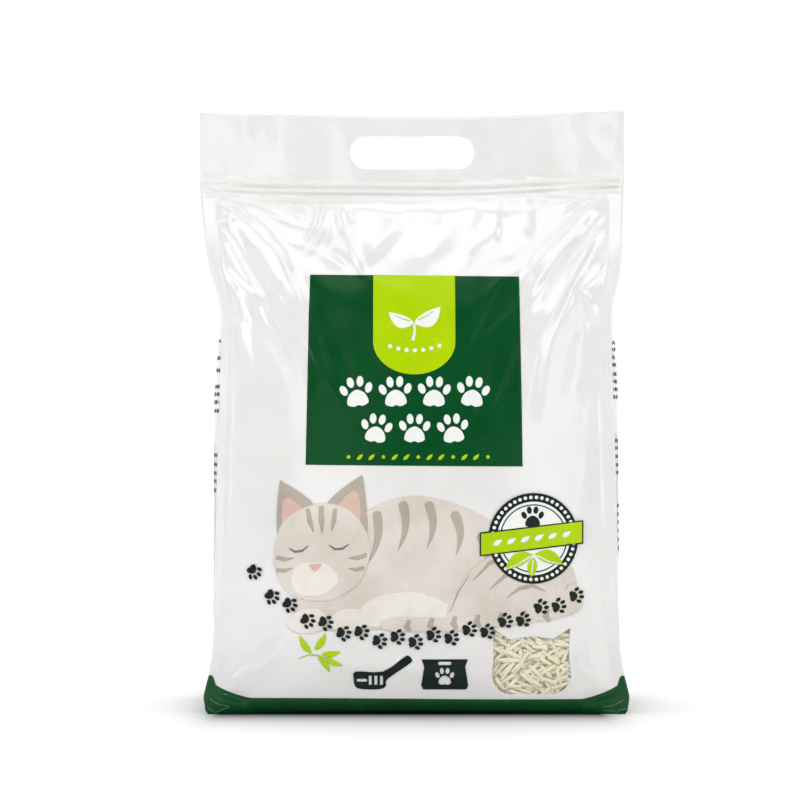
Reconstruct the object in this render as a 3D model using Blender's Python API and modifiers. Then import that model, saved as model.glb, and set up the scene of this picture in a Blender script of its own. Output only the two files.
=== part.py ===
"""Side-gusset litter bag: a heat-sealed film envelope with four edge fins, a punched
carrying header over a press-to-close strip, a clear window, and the litter inside.

Metres, +Z up. The bag stands on Z = 0 and its front panel faces -Y.
"""

import math
import random

import bmesh
import bpy
from mathutils import Matrix, Vector

# Flat film sizes
BAG_WIDTH = 0.265  # across the header, and from fin tip to fin tip
BAG_HEIGHT = 0.370
HEADER_HEIGHT = 0.0450  # from the closing strip up to the top edge
FIN_WIDTH = 0.0075  # heat-sealed margin along each of the four edges
FILM = 0.0005  # one film layer
SEAT_GAP = 0.0003  # between pieces that lie against each other

# How much narrower than the flat bag the filled body is, seam to seam across the front
BASE_DRAW = 0.0215
TOE_DRAW = 0.0195  # the corners spread just above the floor
HIP_DRAW = 0.033
BODY_DRAW = 0.036
PINCH_DRAW = 0.041  # where the gussets start to fold in
NECK_DRAW = 0.026

# Depths from front to back: at the corner seams, and at the middle of the panels
BASE_CORNER_DEPTH = 0.079
BASE_DEPTH = 0.064
TOE_CORNER_DEPTH = 0.084
TOE_DEPTH = 0.090
GUSSET_DEPTH = 0.076  # seam to seam across a side
BODY_DEPTH = 0.105
PINCH_CORNER_DEPTH = 0.058
PINCH_DEPTH = 0.078
NECK_CORNER_DEPTH = 0.039
NECK_DEPTH = 0.057
THROAT_CORNER_DEPTH = 0.019
THROAT_DEPTH = 0.031

# Where those sections lie: levels from the floor up, drops from the closing strip down
TOE_LEVEL = 0.009
HIP_LEVEL = 0.042
BODY_LEVEL = 0.125
PINCH_DROP = 0.0845
NECK_DROP = 0.0490
THROAT_DROP = 0.0190
GUSSET_SWELL = 0.0125  # how far a full side bulges past its seams
GUSSET_TUCK = 0.040  # how far it is folded in under the header
TOE_FIN_WIDTH = 0.0035  # the fins are folded small where they meet the floor

# Closing strip: its ridge in the film, and the two profiles that press together
STRIP_HEIGHT = 0.0048
STRIP_END_SEAL = 0.008  # crushed into the edge seal at each end
STRIP_FLANGE = 0.0005
STRIP_RIB_WIDTH = 0.0008
STRIP_JAW_WIDTH = 0.0006
STRIP_ENGAGEMENT = 0.0004  # how far rib and jaws pass each other
STRIP_RIDGE = 0.0004  # each of the two ridges that show in the film

# Carrying slot
HANDLE_LENGTH = 0.0785
HANDLE_HEIGHT = 0.0207
HANDLE_DROP = 0.0200  # from the top edge down to the slot's middle

# How the limp header hangs
STRIP_SAG = 0.0045
HEADER_WAVE = 0.0026
HEADER_LEAN = 0.0025  # to -X of the filled body

# Clear window in the shape of a cat's head, low on the front panel
WINDOW_MARGIN = 0.0225  # from the right seam
WINDOW_LEVEL = 0.0325
WINDOW_WIDTH = 0.0480
WINDOW_HEIGHT = 0.0400
WINDOW_EAR = 0.0060
WINDOW_DEPTH = 0.012  # how far the cutter reaches in behind the film

# Litter
FILL_DROP = 0.0690  # from the closing strip down to the top of the fill
FILL_CROWN = 0.010
PELLET_DIAMETER = 0.0022
PELLET_LENGTHS = (0.007, 0.014)
PELLET_COUNT = 40
PELLET_BED = 0.0013  # from the fill's outer face back to the bed they lie in

FRONT_SEGMENTS = 26
BACK_SEGMENTS = 14
GUSSET_SEGMENTS = 6
STRIP_STEPS = 14
FRONT, BACK = -1, 1

# Main folds of the filled film: start and end (x, z), half widths to the left and to the right
# of that run, and height. Their z counts from the closing strip, and from the floor at the base.
FRONT_FOLDS = (
    ((-0.119, -0.011), (-0.076, -0.053), 0.010, 0.018, 0.0042),
    ((-0.084, -0.045), (-0.052, -0.129), 0.013, 0.020, 0.0026),
    ((-0.117, -0.031), (-0.094, -0.073), 0.008, 0.009, 0.0020),
    ((-0.122, -0.051), (-0.096, -0.075), 0.008, 0.009, 0.0026),
    ((-0.096, -0.069), (-0.070, -0.129), 0.009, 0.011, 0.0018),
    ((-0.122, -0.085), (-0.102, -0.086), 0.009, 0.009, -0.0026),
    ((-0.057, -0.007), (-0.066, -0.043), 0.008, 0.008, 0.0018),
    ((-0.046, -0.007), (-0.032, -0.057), 0.008, 0.008, 0.0018),
    ((-0.030, -0.049), (0.002, -0.009), 0.020, 0.012, 0.0024),
    ((0.040, -0.013), (0.016, -0.057), 0.010, 0.014, -0.0018),
    ((0.057, -0.007), (0.054, -0.041), 0.009, 0.009, -0.0017),
    ((0.118, -0.007), (0.064, -0.063), 0.017, 0.009, 0.0034),
    ((0.117, -0.021), (0.070, -0.077), 0.009, 0.009, -0.0015),
    ((0.115, -0.029), (0.072, -0.103), 0.010, 0.012, 0.0036),
    ((0.076, -0.093), (0.060, -0.167), 0.011, 0.014, 0.0022),
    ((0.122, -0.084), (0.104, -0.087), 0.009, 0.009, -0.0024),
)
BASE_FOLDS = (
    ((-0.117, 0.015), (-0.074, 0.047), 0.010, 0.020, 0.0020),
    ((0.118, 0.015), (0.094, 0.033), 0.012, 0.010, 0.0013),
)
BACK_FOLDS = (
    ((-0.118, -0.011), (-0.070, -0.063), 0.011, 0.018, 0.0038),
    ((-0.076, -0.055), (-0.050, -0.145), 0.013, 0.018, 0.0024),
    ((-0.122, -0.085), (-0.102, -0.087), 0.009, 0.009, -0.0024),
    ((-0.052, -0.009), (-0.044, -0.049), 0.010, 0.010, 0.0016),
    ((0.000, -0.009), (-0.014, -0.063), 0.014, 0.016, 0.0020),
    ((0.118, -0.009), (0.066, -0.063), 0.015, 0.010, 0.0034),
    ((0.114, -0.029), (0.068, -0.111), 0.011, 0.013, 0.0032),
    ((0.074, -0.099), (0.058, -0.175), 0.012, 0.014, 0.0020),
    ((0.122, -0.084), (0.104, -0.087), 0.009, 0.009, -0.0024),
    ((-0.060, -0.125), (0.052, -0.149), 0.014, 0.016, 0.0012),
)

strip_level = BAG_HEIGHT - HEADER_HEIGHT
pinch_level = strip_level - PINCH_DROP
neck_level = strip_level - NECK_DROP
throat_level = strip_level - THROAT_DROP
fill_level = strip_level - FILL_DROP
fin_thickness = 2 * FILM
window_x = BAG_WIDTH / 2 - HIP_DRAW / 2 - WINDOW_MARGIN - WINDOW_WIDTH / 2
strip_half_width = BAG_WIDTH / 2 - STRIP_END_SEAL
strip_pocket = STRIP_FLANGE + STRIP_ENGAGEMENT + 1.5 * SEAT_GAP  # half the pocket's depth


def smoothstep(low, high, at):
    t = min(1.0, max(0.0, (at - low) / (high - low)))
    return t * t * (3 - 2 * t)


def through(knots, at):
    """The smooth, never overshooting curve through (height, value) knots."""
    if at <= knots[0][0]:
        return knots[0][1]
    if at >= knots[-1][0]:
        return knots[-1][1]
    rises = [(b[1] - a[1]) / (b[0] - a[0]) for a, b in zip(knots, knots[1:])]
    slopes = [rises[0]]
    for before, after in zip(rises, rises[1:]):
        slopes.append(2 * before * after / (before + after) if before * after > 0 else 0.0)
    slopes.append(rises[-1])
    for i, (start, end) in enumerate(zip(knots, knots[1:])):
        if at <= end[0]:
            span = end[0] - start[0]
            t = (at - start[0]) / span
            return (
                start[1] * (1 + 2 * t) * (1 - t) ** 2
                + slopes[i] * span * t * (1 - t) ** 2
                + end[1] * t * t * (3 - 2 * t)
                + slopes[i + 1] * span * t * t * (t - 1)
            )


def seam_half_width(z):
    """Half the width between the two seams of a panel."""
    return 0.5 * BAG_WIDTH - 0.5 * through(
        (
            (0.0, BASE_DRAW),
            (TOE_LEVEL, TOE_DRAW),
            (HIP_LEVEL, HIP_DRAW),
            (BODY_LEVEL, BODY_DRAW),
            (pinch_level, PINCH_DRAW),
            (neck_level, NECK_DRAW),
            (strip_level, 2 * (FIN_WIDTH + SEAT_GAP)),
        ),
        z,
    )


def seam_half_depth(z):
    """Half the depth between the front and the back seam of a side."""
    return through(
        (
            (0.0, BASE_CORNER_DEPTH / 2),
            (TOE_LEVEL, TOE_CORNER_DEPTH / 2),
            (BODY_LEVEL, GUSSET_DEPTH / 2),
            (pinch_level, PINCH_CORNER_DEPTH / 2),
            (neck_level, NECK_CORNER_DEPTH / 2),
            (throat_level, THROAT_CORNER_DEPTH / 2),
            (strip_level, fin_thickness + SEAT_GAP),
        ),
        z,
    )


def belly_half_depth(z):
    """Half the depth at the middle of the panels."""
    return through(
        (
            (0.0, BASE_DEPTH / 2),
            (TOE_LEVEL, TOE_DEPTH / 2),
            (BODY_LEVEL, BODY_DEPTH / 2),
            (pinch_level, PINCH_DEPTH / 2),
            (neck_level, NECK_DEPTH / 2),
            (throat_level, THROAT_DEPTH / 2),
            (strip_level, fin_thickness + 2 * SEAT_GAP),
        ),
        z,
    )


def gusset_reach(z):
    """How far the middle of a side lies outside its seams, or inside them where it is tucked."""
    return through(
        (
            (0.0, 0.1 * GUSSET_SWELL),
            (HIP_LEVEL, 0.85 * GUSSET_SWELL),
            (BODY_LEVEL, GUSSET_SWELL),
            (0.83 * pinch_level, GUSSET_SWELL),
            (pinch_level, 0.55 * GUSSET_SWELL),
            (throat_level, -0.85 * GUSSET_TUCK),
            (strip_level, -GUSSET_TUCK),
        ),
        z,
    )


def fin_width(z):
    return TOE_FIN_WIDTH + (FIN_WIDTH - TOE_FIN_WIDTH) * smoothstep(0.0, HIP_LEVEL / 2, z)


def fold_height(folds, x, z):
    """The folds at a point of a panel: each is a ridge that widens and then fades out."""
    total = 0.0
    for (ax, az), (bx, bz), left, right, height in folds:
        run_x, run_z = bx - ax, bz - az
        length = math.hypot(run_x, run_z)
        along = ((x - ax) * run_x + (z - az) * run_z) / length**2
        inside = min(1.0, max(0.0, along))
        across = ((x - ax) * run_z - (z - az) * run_x) / length
        past = (along - inside) * length
        half_width = (right if across > 0 else left) * (0.6 + 0.5 * inside)
        off = math.hypot(across, past) / half_width
        if off < 1:
            fade = smoothstep(-0.12, 0.2, along) * (1 - smoothstep(0.7, 1.12, along))
            total += height * (1 - off * off) ** 2 * fade
    return total


def panel_depth(side, x, z):
    """Distance of a panel's outer face from the bag's middle plane."""
    half = seam_half_width(z)
    u = min(1.0, abs(x) / half)
    seam, belly = seam_half_depth(z), belly_half_depth(z)
    folds = fold_height(FRONT_FOLDS if side == FRONT else BACK_FOLDS, x, z - strip_level)
    if side == FRONT:
        folds += fold_height(BASE_FOLDS, x, z)
    near_strip = 1 - smoothstep(throat_level, strip_level - HEADER_HEIGHT / 10, z)
    return (
        seam
        + (belly - seam) * (1 - u**2.3)
        + folds * (1 - u**8) * near_strip
    )


def skin_depth(side, x, z, count):
    """panel_depth as the faceted panel has it: straight between its columns."""
    full = seam_half_width(z)
    place = (x / full + 1) / 2 * count
    low = min(count - 1, int(place))
    near, far = (panel_depth(side, full * (2 * i / count - 1), z) for i in (low, low + 1))
    return near + (far - near) * (place - low)


def panel_line(side, z, inset, half):
    """One panel at one height, from seam to seam the way the section runs round."""
    count = FRONT_SEGMENTS if side == FRONT else BACK_SEGMENTS
    full = seam_half_width(z)
    line = []
    for i in range(count + 1):
        x = side * full * (1 - 2 * i / count)
        x = min(half, max(-half, x))
        line.append((x, side * (skin_depth(side, x, z, count) - inset), z))
    return line


def outer_section(z):
    """The film's outside at one height, with a fin at each of its four corners."""
    half, seam = seam_half_width(z), seam_half_depth(z)
    tip, inside, reach = half + fin_width(z), seam - fin_thickness, gusset_reach(z)
    section = []
    for side in (FRONT, BACK):
        hand = -side  # the side of the bag that this panel leads to
        section += panel_line(side, z, 0.0, half)
        section += [(hand * tip, side * seam, z), (hand * tip, side * inside, z)]
        for i in range(GUSSET_SEGMENTS + 1):
            v = 1 - 2 * i / GUSSET_SEGMENTS
            bend = 1 - v * v if reach > 0 else 1 - abs(v) ** 1.3
            section.append((hand * (half + reach * bend), side * inside * v, z))
        section += [(hand * tip, -side * inside, z), (hand * tip, -side * seam, z)]
    return section


def inner_section(z, inset):
    """The space inside the film at one height. Tucked gussets close it from the sides."""
    reach = gusset_reach(z)
    half = seam_half_width(z) - inset + min(reach, 0.0)
    section = []
    for side in (FRONT, BACK):
        hand = -side
        line = panel_line(side, z, inset, half)
        section += line
        corner = abs(line[-1][1])
        for i in range(1, GUSSET_SEGMENTS):
            v = 1 - 2 * i / GUSSET_SEGMENTS
            swell = max(reach, 0.0) * (1 - v * v)
            section.append((hand * (half + swell), side * corner * v, z))
    return section


def film_depth(z):
    """Film between the bag's outside and its contents: doubled where the shoulders crumple."""
    mouth = strip_level - STRIP_HEIGHT / 2
    crumpled = smoothstep(pinch_level, neck_level, z) * (1 - smoothstep(throat_level, mouth, z))
    return FILM * (1 + 2 * crumpled)


def hang(point):
    """The limp top: it leans to one side, sags between its corners and waves front to back."""
    x, y, z = point
    u = x / (BAG_WIDTH / 2)
    limp = smoothstep(throat_level, strip_level, z)
    free = max(0.0, (z - strip_level) / HEADER_HEIGHT)
    sag = STRIP_SAG * (u * u + 0.2 * u - 1.2) * (limp - 0.35 * free)
    wave = HEADER_WAVE * free * math.sin(2 * math.pi * (0.72 * u + 0.08))
    lean = HEADER_LEAN * smoothstep(pinch_level, strip_level, z)
    return Vector((x - lean, y + wave, z + sag))


def add_object(name, mesh, collection):
    obj = bpy.data.objects.new(name, mesh)
    collection.objects.link(obj)
    return obj


def mesh_from(name, bm, collection):
    mesh = bpy.data.meshes.new(name)
    bm.to_mesh(mesh)
    bm.free()
    return add_object(name, mesh, collection)


def loft(name, sections, collection):
    """A closed solid through sections that all have the same number of points. Its sides are
    split the same way each time, so that one skin follows another.
    """
    bm = bmesh.new()
    rings = [[bm.verts.new(hang(p)) for p in section] for section in sections]
    bm.faces.new(reversed(rings[0]))
    bm.faces.new(rings[-1])
    for low, high in zip(rings, rings[1:]):
        for i in range(len(low)):
            j = (i + 1) % len(low)
            bm.faces.new((low[i], low[j], high[j]))
            bm.faces.new((low[i], high[j], high[i]))
    bmesh.ops.remove_doubles(bm, verts=bm.verts, dist=1e-6)
    bmesh.ops.dissolve_degenerate(bm, dist=1e-6, edges=bm.edges)
    bmesh.ops.recalc_face_normals(bm, faces=bm.faces)
    return mesh_from(name, bm, collection)


def sweep(name, profile, half_length, collection, steps=STRIP_STEPS):
    """A (y, z) profile run along the closing strip, as a closed solid."""
    sections = []
    for i in range(steps + 1):
        x = half_length * (2 * i / steps - 1)
        sections.append([(x, y, strip_level + z) for y, z in profile])
    return loft(name, sections, collection)


def combine(obj, other, operation):
    """Runs one Boolean and leaves its result in obj; the other object is removed."""
    cut = obj.modifiers.new(operation.title(), "BOOLEAN")
    cut.object, cut.operation, cut.solver = other, operation, "EXACT"
    graph = bpy.context.evaluated_depsgraph_get()
    made = bpy.data.meshes.new_from_object(obj.evaluated_get(graph))
    obj.modifiers.clear()
    obj.data = made
    bpy.data.objects.remove(other)
    return obj


def copy_of(obj, name, collection):
    return add_object(name, obj.data.copy(), collection)


def body_levels(low, high):
    """Heights to section at: close together where the film turns, wider where it runs straight."""
    marks = (
        0.0, TOE_LEVEL / 4, 0.6 * TOE_LEVEL, TOE_LEVEL, HIP_LEVEL / 2, HIP_LEVEL, BODY_LEVEL / 2,
        BODY_LEVEL, 0.72 * pinch_level, 0.85 * pinch_level, 0.93 * pinch_level, pinch_level,
    )
    shoulder = [pinch_level + (throat_level - pinch_level) * i / 8 for i in range(1, 9)]
    throat = [throat_level + (strip_level - throat_level) * i / 3 for i in range(1, 3)]
    marks = sorted((*marks, *shoulder, *throat, fill_level))
    return [low, *(z for z in marks if low + FILM < z < high - FILM), high]


def header_plate(collection):
    """Front and back film welded flat above the strip, with the carrying slot punched out."""
    bm = bmesh.new()
    bmesh.ops.create_grid(bm, x_segments=28, y_segments=5, size=0.5)
    low = strip_level
    for v in bm.verts:
        v.co = hang((v.co.x * BAG_WIDTH, 0.0, low + (v.co.y + 0.5) * (BAG_HEIGHT - low)))
    plate = mesh_from("header_plate", bm, collection)
    wall = plate.modifiers.new("Welded film", "SOLIDIFY")
    wall.thickness, wall.offset = fin_thickness, 0.0
    return combine(plate, slot_cutter(collection), "DIFFERENCE")


def slot_cutter(collection):
    bm = bmesh.new()
    bmesh.ops.create_cube(bm, size=1.0)
    bmesh.ops.scale(bm, verts=bm.verts, vec=(HANDLE_LENGTH, BODY_DEPTH, HANDLE_HEIGHT))
    ends = [e for e in bm.edges if abs((e.verts[0].co - e.verts[1].co).y) > BODY_DEPTH / 2]
    bmesh.ops.bevel(
        bm, geom=ends, offset=0.499 * HANDLE_HEIGHT, segments=8, profile=0.5,
        affect="EDGES", material=-1,
    )
    middle = hang((0.0, 0.0, BAG_HEIGHT - HANDLE_DROP))
    bmesh.ops.translate(bm, verts=bm.verts, vec=middle)
    return mesh_from("slot_cutter", bm, collection)


def strip_band(collection):
    """The film's two-ridged bulge over the closing strip."""
    wall = strip_pocket + FILM
    top = STRIP_HEIGHT / 2 + SEAT_GAP + FILM
    crest = wall + STRIP_RIDGE
    quarter = ((crest, 0.35 * top), (crest, 0.72 * top), (0.45 * wall, top))
    upper = [(wall, 0.0), *quarter]
    right = [(y, -z) for y, z in reversed(quarter)] + upper
    left = [(-y, -z) for y, z in right]
    return sweep("strip_band", right + left, BAG_WIDTH / 2 + SEAT_GAP, collection)


def strip_void(collection):
    half_height = STRIP_HEIGHT / 2 + SEAT_GAP
    box = [
        (-strip_pocket, -half_height), (strip_pocket, -half_height),
        (strip_pocket, half_height), (-strip_pocket, half_height),
    ]
    return sweep("strip_void", box, strip_half_width + SEAT_GAP, collection)


def rib_profile():
    """Front half of the closing strip: a flange with one rib that points back."""
    outer = SEAT_GAP - strip_pocket
    face = outer + STRIP_FLANGE
    tip = face + STRIP_ENGAGEMENT + SEAT_GAP
    half, rib = STRIP_HEIGHT / 2, STRIP_RIB_WIDTH / 2
    return [
        (outer, -half), (face, -half), (face, -rib), (tip, -rib),
        (tip, rib), (face, rib), (face, half), (outer, half),
    ]


def jaw_profile():
    """Back half: a flange with two jaws that close over the rib."""
    outer = strip_pocket - SEAT_GAP
    face = outer - STRIP_FLANGE
    tip = face - STRIP_ENGAGEMENT - SEAT_GAP
    half = STRIP_HEIGHT / 2
    near = STRIP_RIB_WIDTH / 2 + SEAT_GAP
    far = near + STRIP_JAW_WIDTH
    return [
        (outer, half), (face, half), (face, far), (tip, far), (tip, near), (face, near),
        (face, -near), (tip, -near), (tip, -far), (face, -far), (face, -half), (outer, -half),
    ]


def window_outline(inset):
    """The cat's-head opening as a filled curve; the ears are its only sharp corners."""
    w, h = WINDOW_WIDTH / 2 - inset, WINDOW_HEIGHT / 2 - inset
    ear = WINDOW_EAR
    points = (  # x, z, and whether the outline turns sharply there
        (-0.98 * w, h, True), (-0.55 * w, h - 1.15 * ear, True), (0.0, h - 0.85 * ear, False),
        (0.55 * w, h - 1.15 * ear, True), (0.98 * w, h, True), (0.95 * w, 0.15 * h, False),
        (w, -0.45 * h, False), (0.62 * w, -h, False), (-0.62 * w, -h, False),
        (-w, -0.45 * h, False), (-0.95 * w, 0.15 * h, False),
    )
    curve = bpy.data.curves.new("window_outline", "CURVE")
    curve.dimensions, curve.fill_mode, curve.resolution_u = "2D", "BOTH", 5
    curve.extrude = WINDOW_DEPTH
    spline = curve.splines.new("BEZIER")
    spline.use_cyclic_u = True
    spline.bezier_points.add(len(points) - 1)
    for point, (x, z, sharp) in zip(spline.bezier_points, points):
        point.co = (x, z, 0.0)
        point.handle_left_type = point.handle_right_type = "VECTOR" if sharp else "AUTO"
    return curve


def window_prism(name, inset, collection):
    """The opening run through the front film, as a mesh."""
    guide = add_object(name + "_guide", window_outline(inset), collection)
    front = -belly_half_depth(WINDOW_LEVEL)
    guide.matrix_world = Matrix.Translation((window_x, front, WINDOW_LEVEL)) @ Matrix.Rotation(
        math.pi / 2, 4, "X"
    )
    bpy.context.view_layer.update()
    graph = bpy.context.evaluated_depsgraph_get()
    mesh = bpy.data.meshes.new_from_object(guide.evaluated_get(graph))
    mesh.transform(guide.matrix_world)
    bpy.data.objects.remove(guide)
    bm = bmesh.new()
    bm.from_mesh(mesh)
    bmesh.ops.remove_doubles(bm, verts=bm.verts, dist=1e-6)
    bmesh.ops.recalc_face_normals(bm, faces=bm.faces)
    return mesh_from(name, bm, collection)


def film_envelope(cutters):
    """Body, welded header and strip band as one skin round the space for the litter."""
    sections = [outer_section(z) for z in body_levels(0.0, strip_level)]
    film = loft("film_envelope", sections, cutters)
    combine(film, header_plate(cutters), "UNION")
    combine(film, strip_band(cutters), "UNION")
    mouth = strip_level - STRIP_HEIGHT / 2
    sections = [inner_section(z, film_depth(z)) for z in body_levels(FILM, mouth)]
    combine(film, loft("filling_space", sections, cutters), "DIFFERENCE")
    return combine(film, strip_void(cutters), "DIFFERENCE")


def pellet(name, start, end, collection):
    """One extruded litter pellet: a short rod with blunt ends."""
    bm = bmesh.new()
    r, run = PELLET_DIAMETER / 2, end - start
    bmesh.ops.create_cone(
        bm, cap_ends=True, segments=6, radius1=r, radius2=r, depth=run.length
    )
    turn = run.to_track_quat("Z", "Y").to_matrix().to_4x4()
    middle = Matrix.Translation(start.lerp(end, 0.5))
    bmesh.ops.transform(bm, verts=bm.verts, matrix=middle @ turn)
    return mesh_from(name, bm, collection)


def litter_fill(cutters):
    """The fill, crowned on top, with pellets that stand out of it behind the window."""
    inset = FILM + SEAT_GAP
    top = fill_level
    levels = body_levels(inset, top)
    sections = [inner_section(z, film_depth(z) + SEAT_GAP) for z in levels]
    crown = [(x * 0.6, y * 0.35, top + FILL_CROWN) for x, y, _ in sections[-1]]
    fill = loft("litter", [*sections, crown], cutters)
    bed = window_prism("pellet_bed", -PELLET_DIAMETER, cutters)
    back = inset + PELLET_BED
    floor = loft("bed_floor", [inner_section(z, back) for z in levels], cutters)
    combine(bed, floor, "DIFFERENCE")
    combine(fill, bed, "DIFFERENCE")
    draw = random.Random(7)
    pellets = bpy.data.collections.new("pellets")
    bpy.context.scene.collection.children.link(pellets)
    for n in range(PELLET_COUNT):
        x = window_x + WINDOW_WIDTH * draw.uniform(-0.44, 0.44)
        z = WINDOW_LEVEL + WINDOW_HEIGHT * draw.uniform(-0.42, 0.36)
        lean = draw.choice((-1, 1)) * draw.uniform(0.1, 1.0)
        half = draw.uniform(*PELLET_LENGTHS) / 2
        sunk = back + draw.uniform(0.1, 0.6) * PELLET_DIAMETER / 2
        ends = []
        for way in (-half, half):
            end_x, end_z = x + way * math.cos(lean), z + way * math.sin(lean)
            ends.append(Vector((end_x, sunk - panel_depth(FRONT, end_x, end_z), end_z)))
        pellet(f"pellet_{n}", *ends, pellets)
    join = fill.modifiers.new("Pellets", "BOOLEAN")
    join.operand_type, join.collection = "COLLECTION", pellets
    join.operation, join.solver = "UNION", "EXACT"
    join.use_self = True
    graph = bpy.context.evaluated_depsgraph_get()
    made = bpy.data.meshes.new_from_object(fill.evaluated_get(graph))
    fill.modifiers.clear()
    fill.data = made
    for obj in list(pellets.objects):
        bpy.data.objects.remove(obj)
    return fill


def material(name, colour, roughness, alpha=1.0):
    made = bpy.data.materials.new(name)
    made.use_nodes = True
    made.diffuse_color = (*colour, alpha)
    shader = made.node_tree.nodes["Principled BSDF"]
    shader.inputs["Base Color"].default_value = (*colour, 1.0)
    shader.inputs["Roughness"].default_value = roughness
    shader.inputs["Metallic"].default_value = 0.0
    shader.inputs["Alpha"].default_value = alpha
    return made


def finish(obj, look, bag):
    """Moves a finished solid into the bag's own collection with its material."""
    for collection in list(obj.users_collection):
        collection.objects.unlink(obj)
    bag.objects.link(obj)
    obj.data.materials.clear()
    obj.data.materials.append(look)
    obj.data.shade_smooth()
    obj.data.set_sharp_from_angle(angle=math.radians(40))


def build():
    for obj in list(bpy.data.objects):
        bpy.data.objects.remove(obj)
    bag = bpy.data.collections.new("litter_bag")
    cutters = bpy.data.collections.new("cutters")
    for collection in (bag, cutters):
        bpy.context.scene.collection.children.link(collection)

    film = film_envelope(cutters)
    pane = copy_of(film, "clear_window", cutters)
    combine(pane, window_prism("pane_prism", SEAT_GAP, cutters), "INTERSECT")
    combine(film, window_prism("window_cut", 0.0, cutters), "DIFFERENCE")
    litter = litter_fill(cutters)
    rib = sweep("strip_rib", rib_profile(), strip_half_width, cutters)
    jaws = sweep("strip_jaws", jaw_profile(), strip_half_width, cutters)

    strip_plastic = material("strip_plastic", (0.86, 0.87, 0.86), 0.45)
    finish(film, material("white_film", (0.90, 0.90, 0.89), 0.25), bag)
    finish(pane, material("clear_film", (0.95, 0.96, 0.94), 0.12, 0.3), bag)
    finish(litter, material("litter_pellets", (0.80, 0.76, 0.62), 0.9), bag)
    finish(rib, strip_plastic, bag)
    finish(jaws, strip_plastic, bag)


build()
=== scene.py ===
import math
import random

import bmesh
import bpy
import numpy as np
from mathutils import Matrix, Vector, noise


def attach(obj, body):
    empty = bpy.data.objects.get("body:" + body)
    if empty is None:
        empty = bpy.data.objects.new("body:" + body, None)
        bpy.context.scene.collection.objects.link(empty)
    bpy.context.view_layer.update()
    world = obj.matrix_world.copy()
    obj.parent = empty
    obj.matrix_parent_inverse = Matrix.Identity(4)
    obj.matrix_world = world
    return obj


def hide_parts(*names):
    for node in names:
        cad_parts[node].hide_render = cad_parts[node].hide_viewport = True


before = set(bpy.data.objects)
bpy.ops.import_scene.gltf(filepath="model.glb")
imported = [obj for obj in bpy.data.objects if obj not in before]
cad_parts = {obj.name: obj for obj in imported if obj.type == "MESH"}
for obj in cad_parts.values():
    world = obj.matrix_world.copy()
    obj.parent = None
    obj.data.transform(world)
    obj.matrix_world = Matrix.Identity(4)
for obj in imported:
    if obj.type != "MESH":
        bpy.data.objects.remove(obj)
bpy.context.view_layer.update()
print("frame loaded")

# The bag in metres, standing on z = 0 with its front towards -y
bag = {
    "width": 0.265,
    "height": 0.370,
    "header": 0.045,  # above the closing strip
    "fin": 0.0075,
    "finFoot": 0.0054,  # the fin is narrower at the floor, and full from finTop up
    "finTop": 0.021,
    "finCorner": (0.0016, 0.0018),  # how far it is rounded off, across and up
    "lean": 0.0025,
    "leanFrom": 0.2405,
    "limpFrom": 0.306,
    "sag": 0.0045,
    "sagSkew": 0.2,  # the left sags more than the right
    "sagHeld": 0.35,  # less of it at the top edge
    "wave": 0.0026,
    "stretch": 0.0012,  # of the header's height
    "film": 0.00025,
    "plate": 0.0005,  # half the welded header
    "heart": (0.0, 0.0, 0.16),  # sheets face away from here
    # profiles, each of heights and values: the seams' distance from the middle, the seams' depth,
    # the depth halfway between them, and how far the gussets stand out from their seams
    "seam": ((0.0, 0.1225), (0.009, 0.1227), (0.017, 0.1204), (0.024, 0.1184), (0.034, 0.1169),
             (0.042, 0.1161), (0.125, 0.1144), (0.2405, 0.1120), (0.276, 0.1197), (0.325, 0.1248)),
    "corner": ((0.0, 0.0412), (0.009, 0.0425), (0.042, 0.040), (0.125, 0.038), (0.2405, 0.029),
               (0.276, 0.0195), (0.306, 0.0095), (0.325, 0.0012)),
    "belly": ((0.0, 0.0385), (0.003, 0.0424), (0.009, 0.045), (0.125, 0.0525), (0.2405, 0.039),
              (0.276, 0.0285), (0.306, 0.0155), (0.325, 0.0016)),
    "tuck": ((0.0, 0.00125), (0.042, 0.0104), (0.125, 0.0122), (0.198, 0.0128), (0.2165, 0.0118),
             (0.232, 0.0092), (0.2405, 0.0070), (0.252, 0.0), (0.306, -0.034), (0.325, -0.040)),
}
stripZ = bag["height"] - bag["header"]

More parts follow.
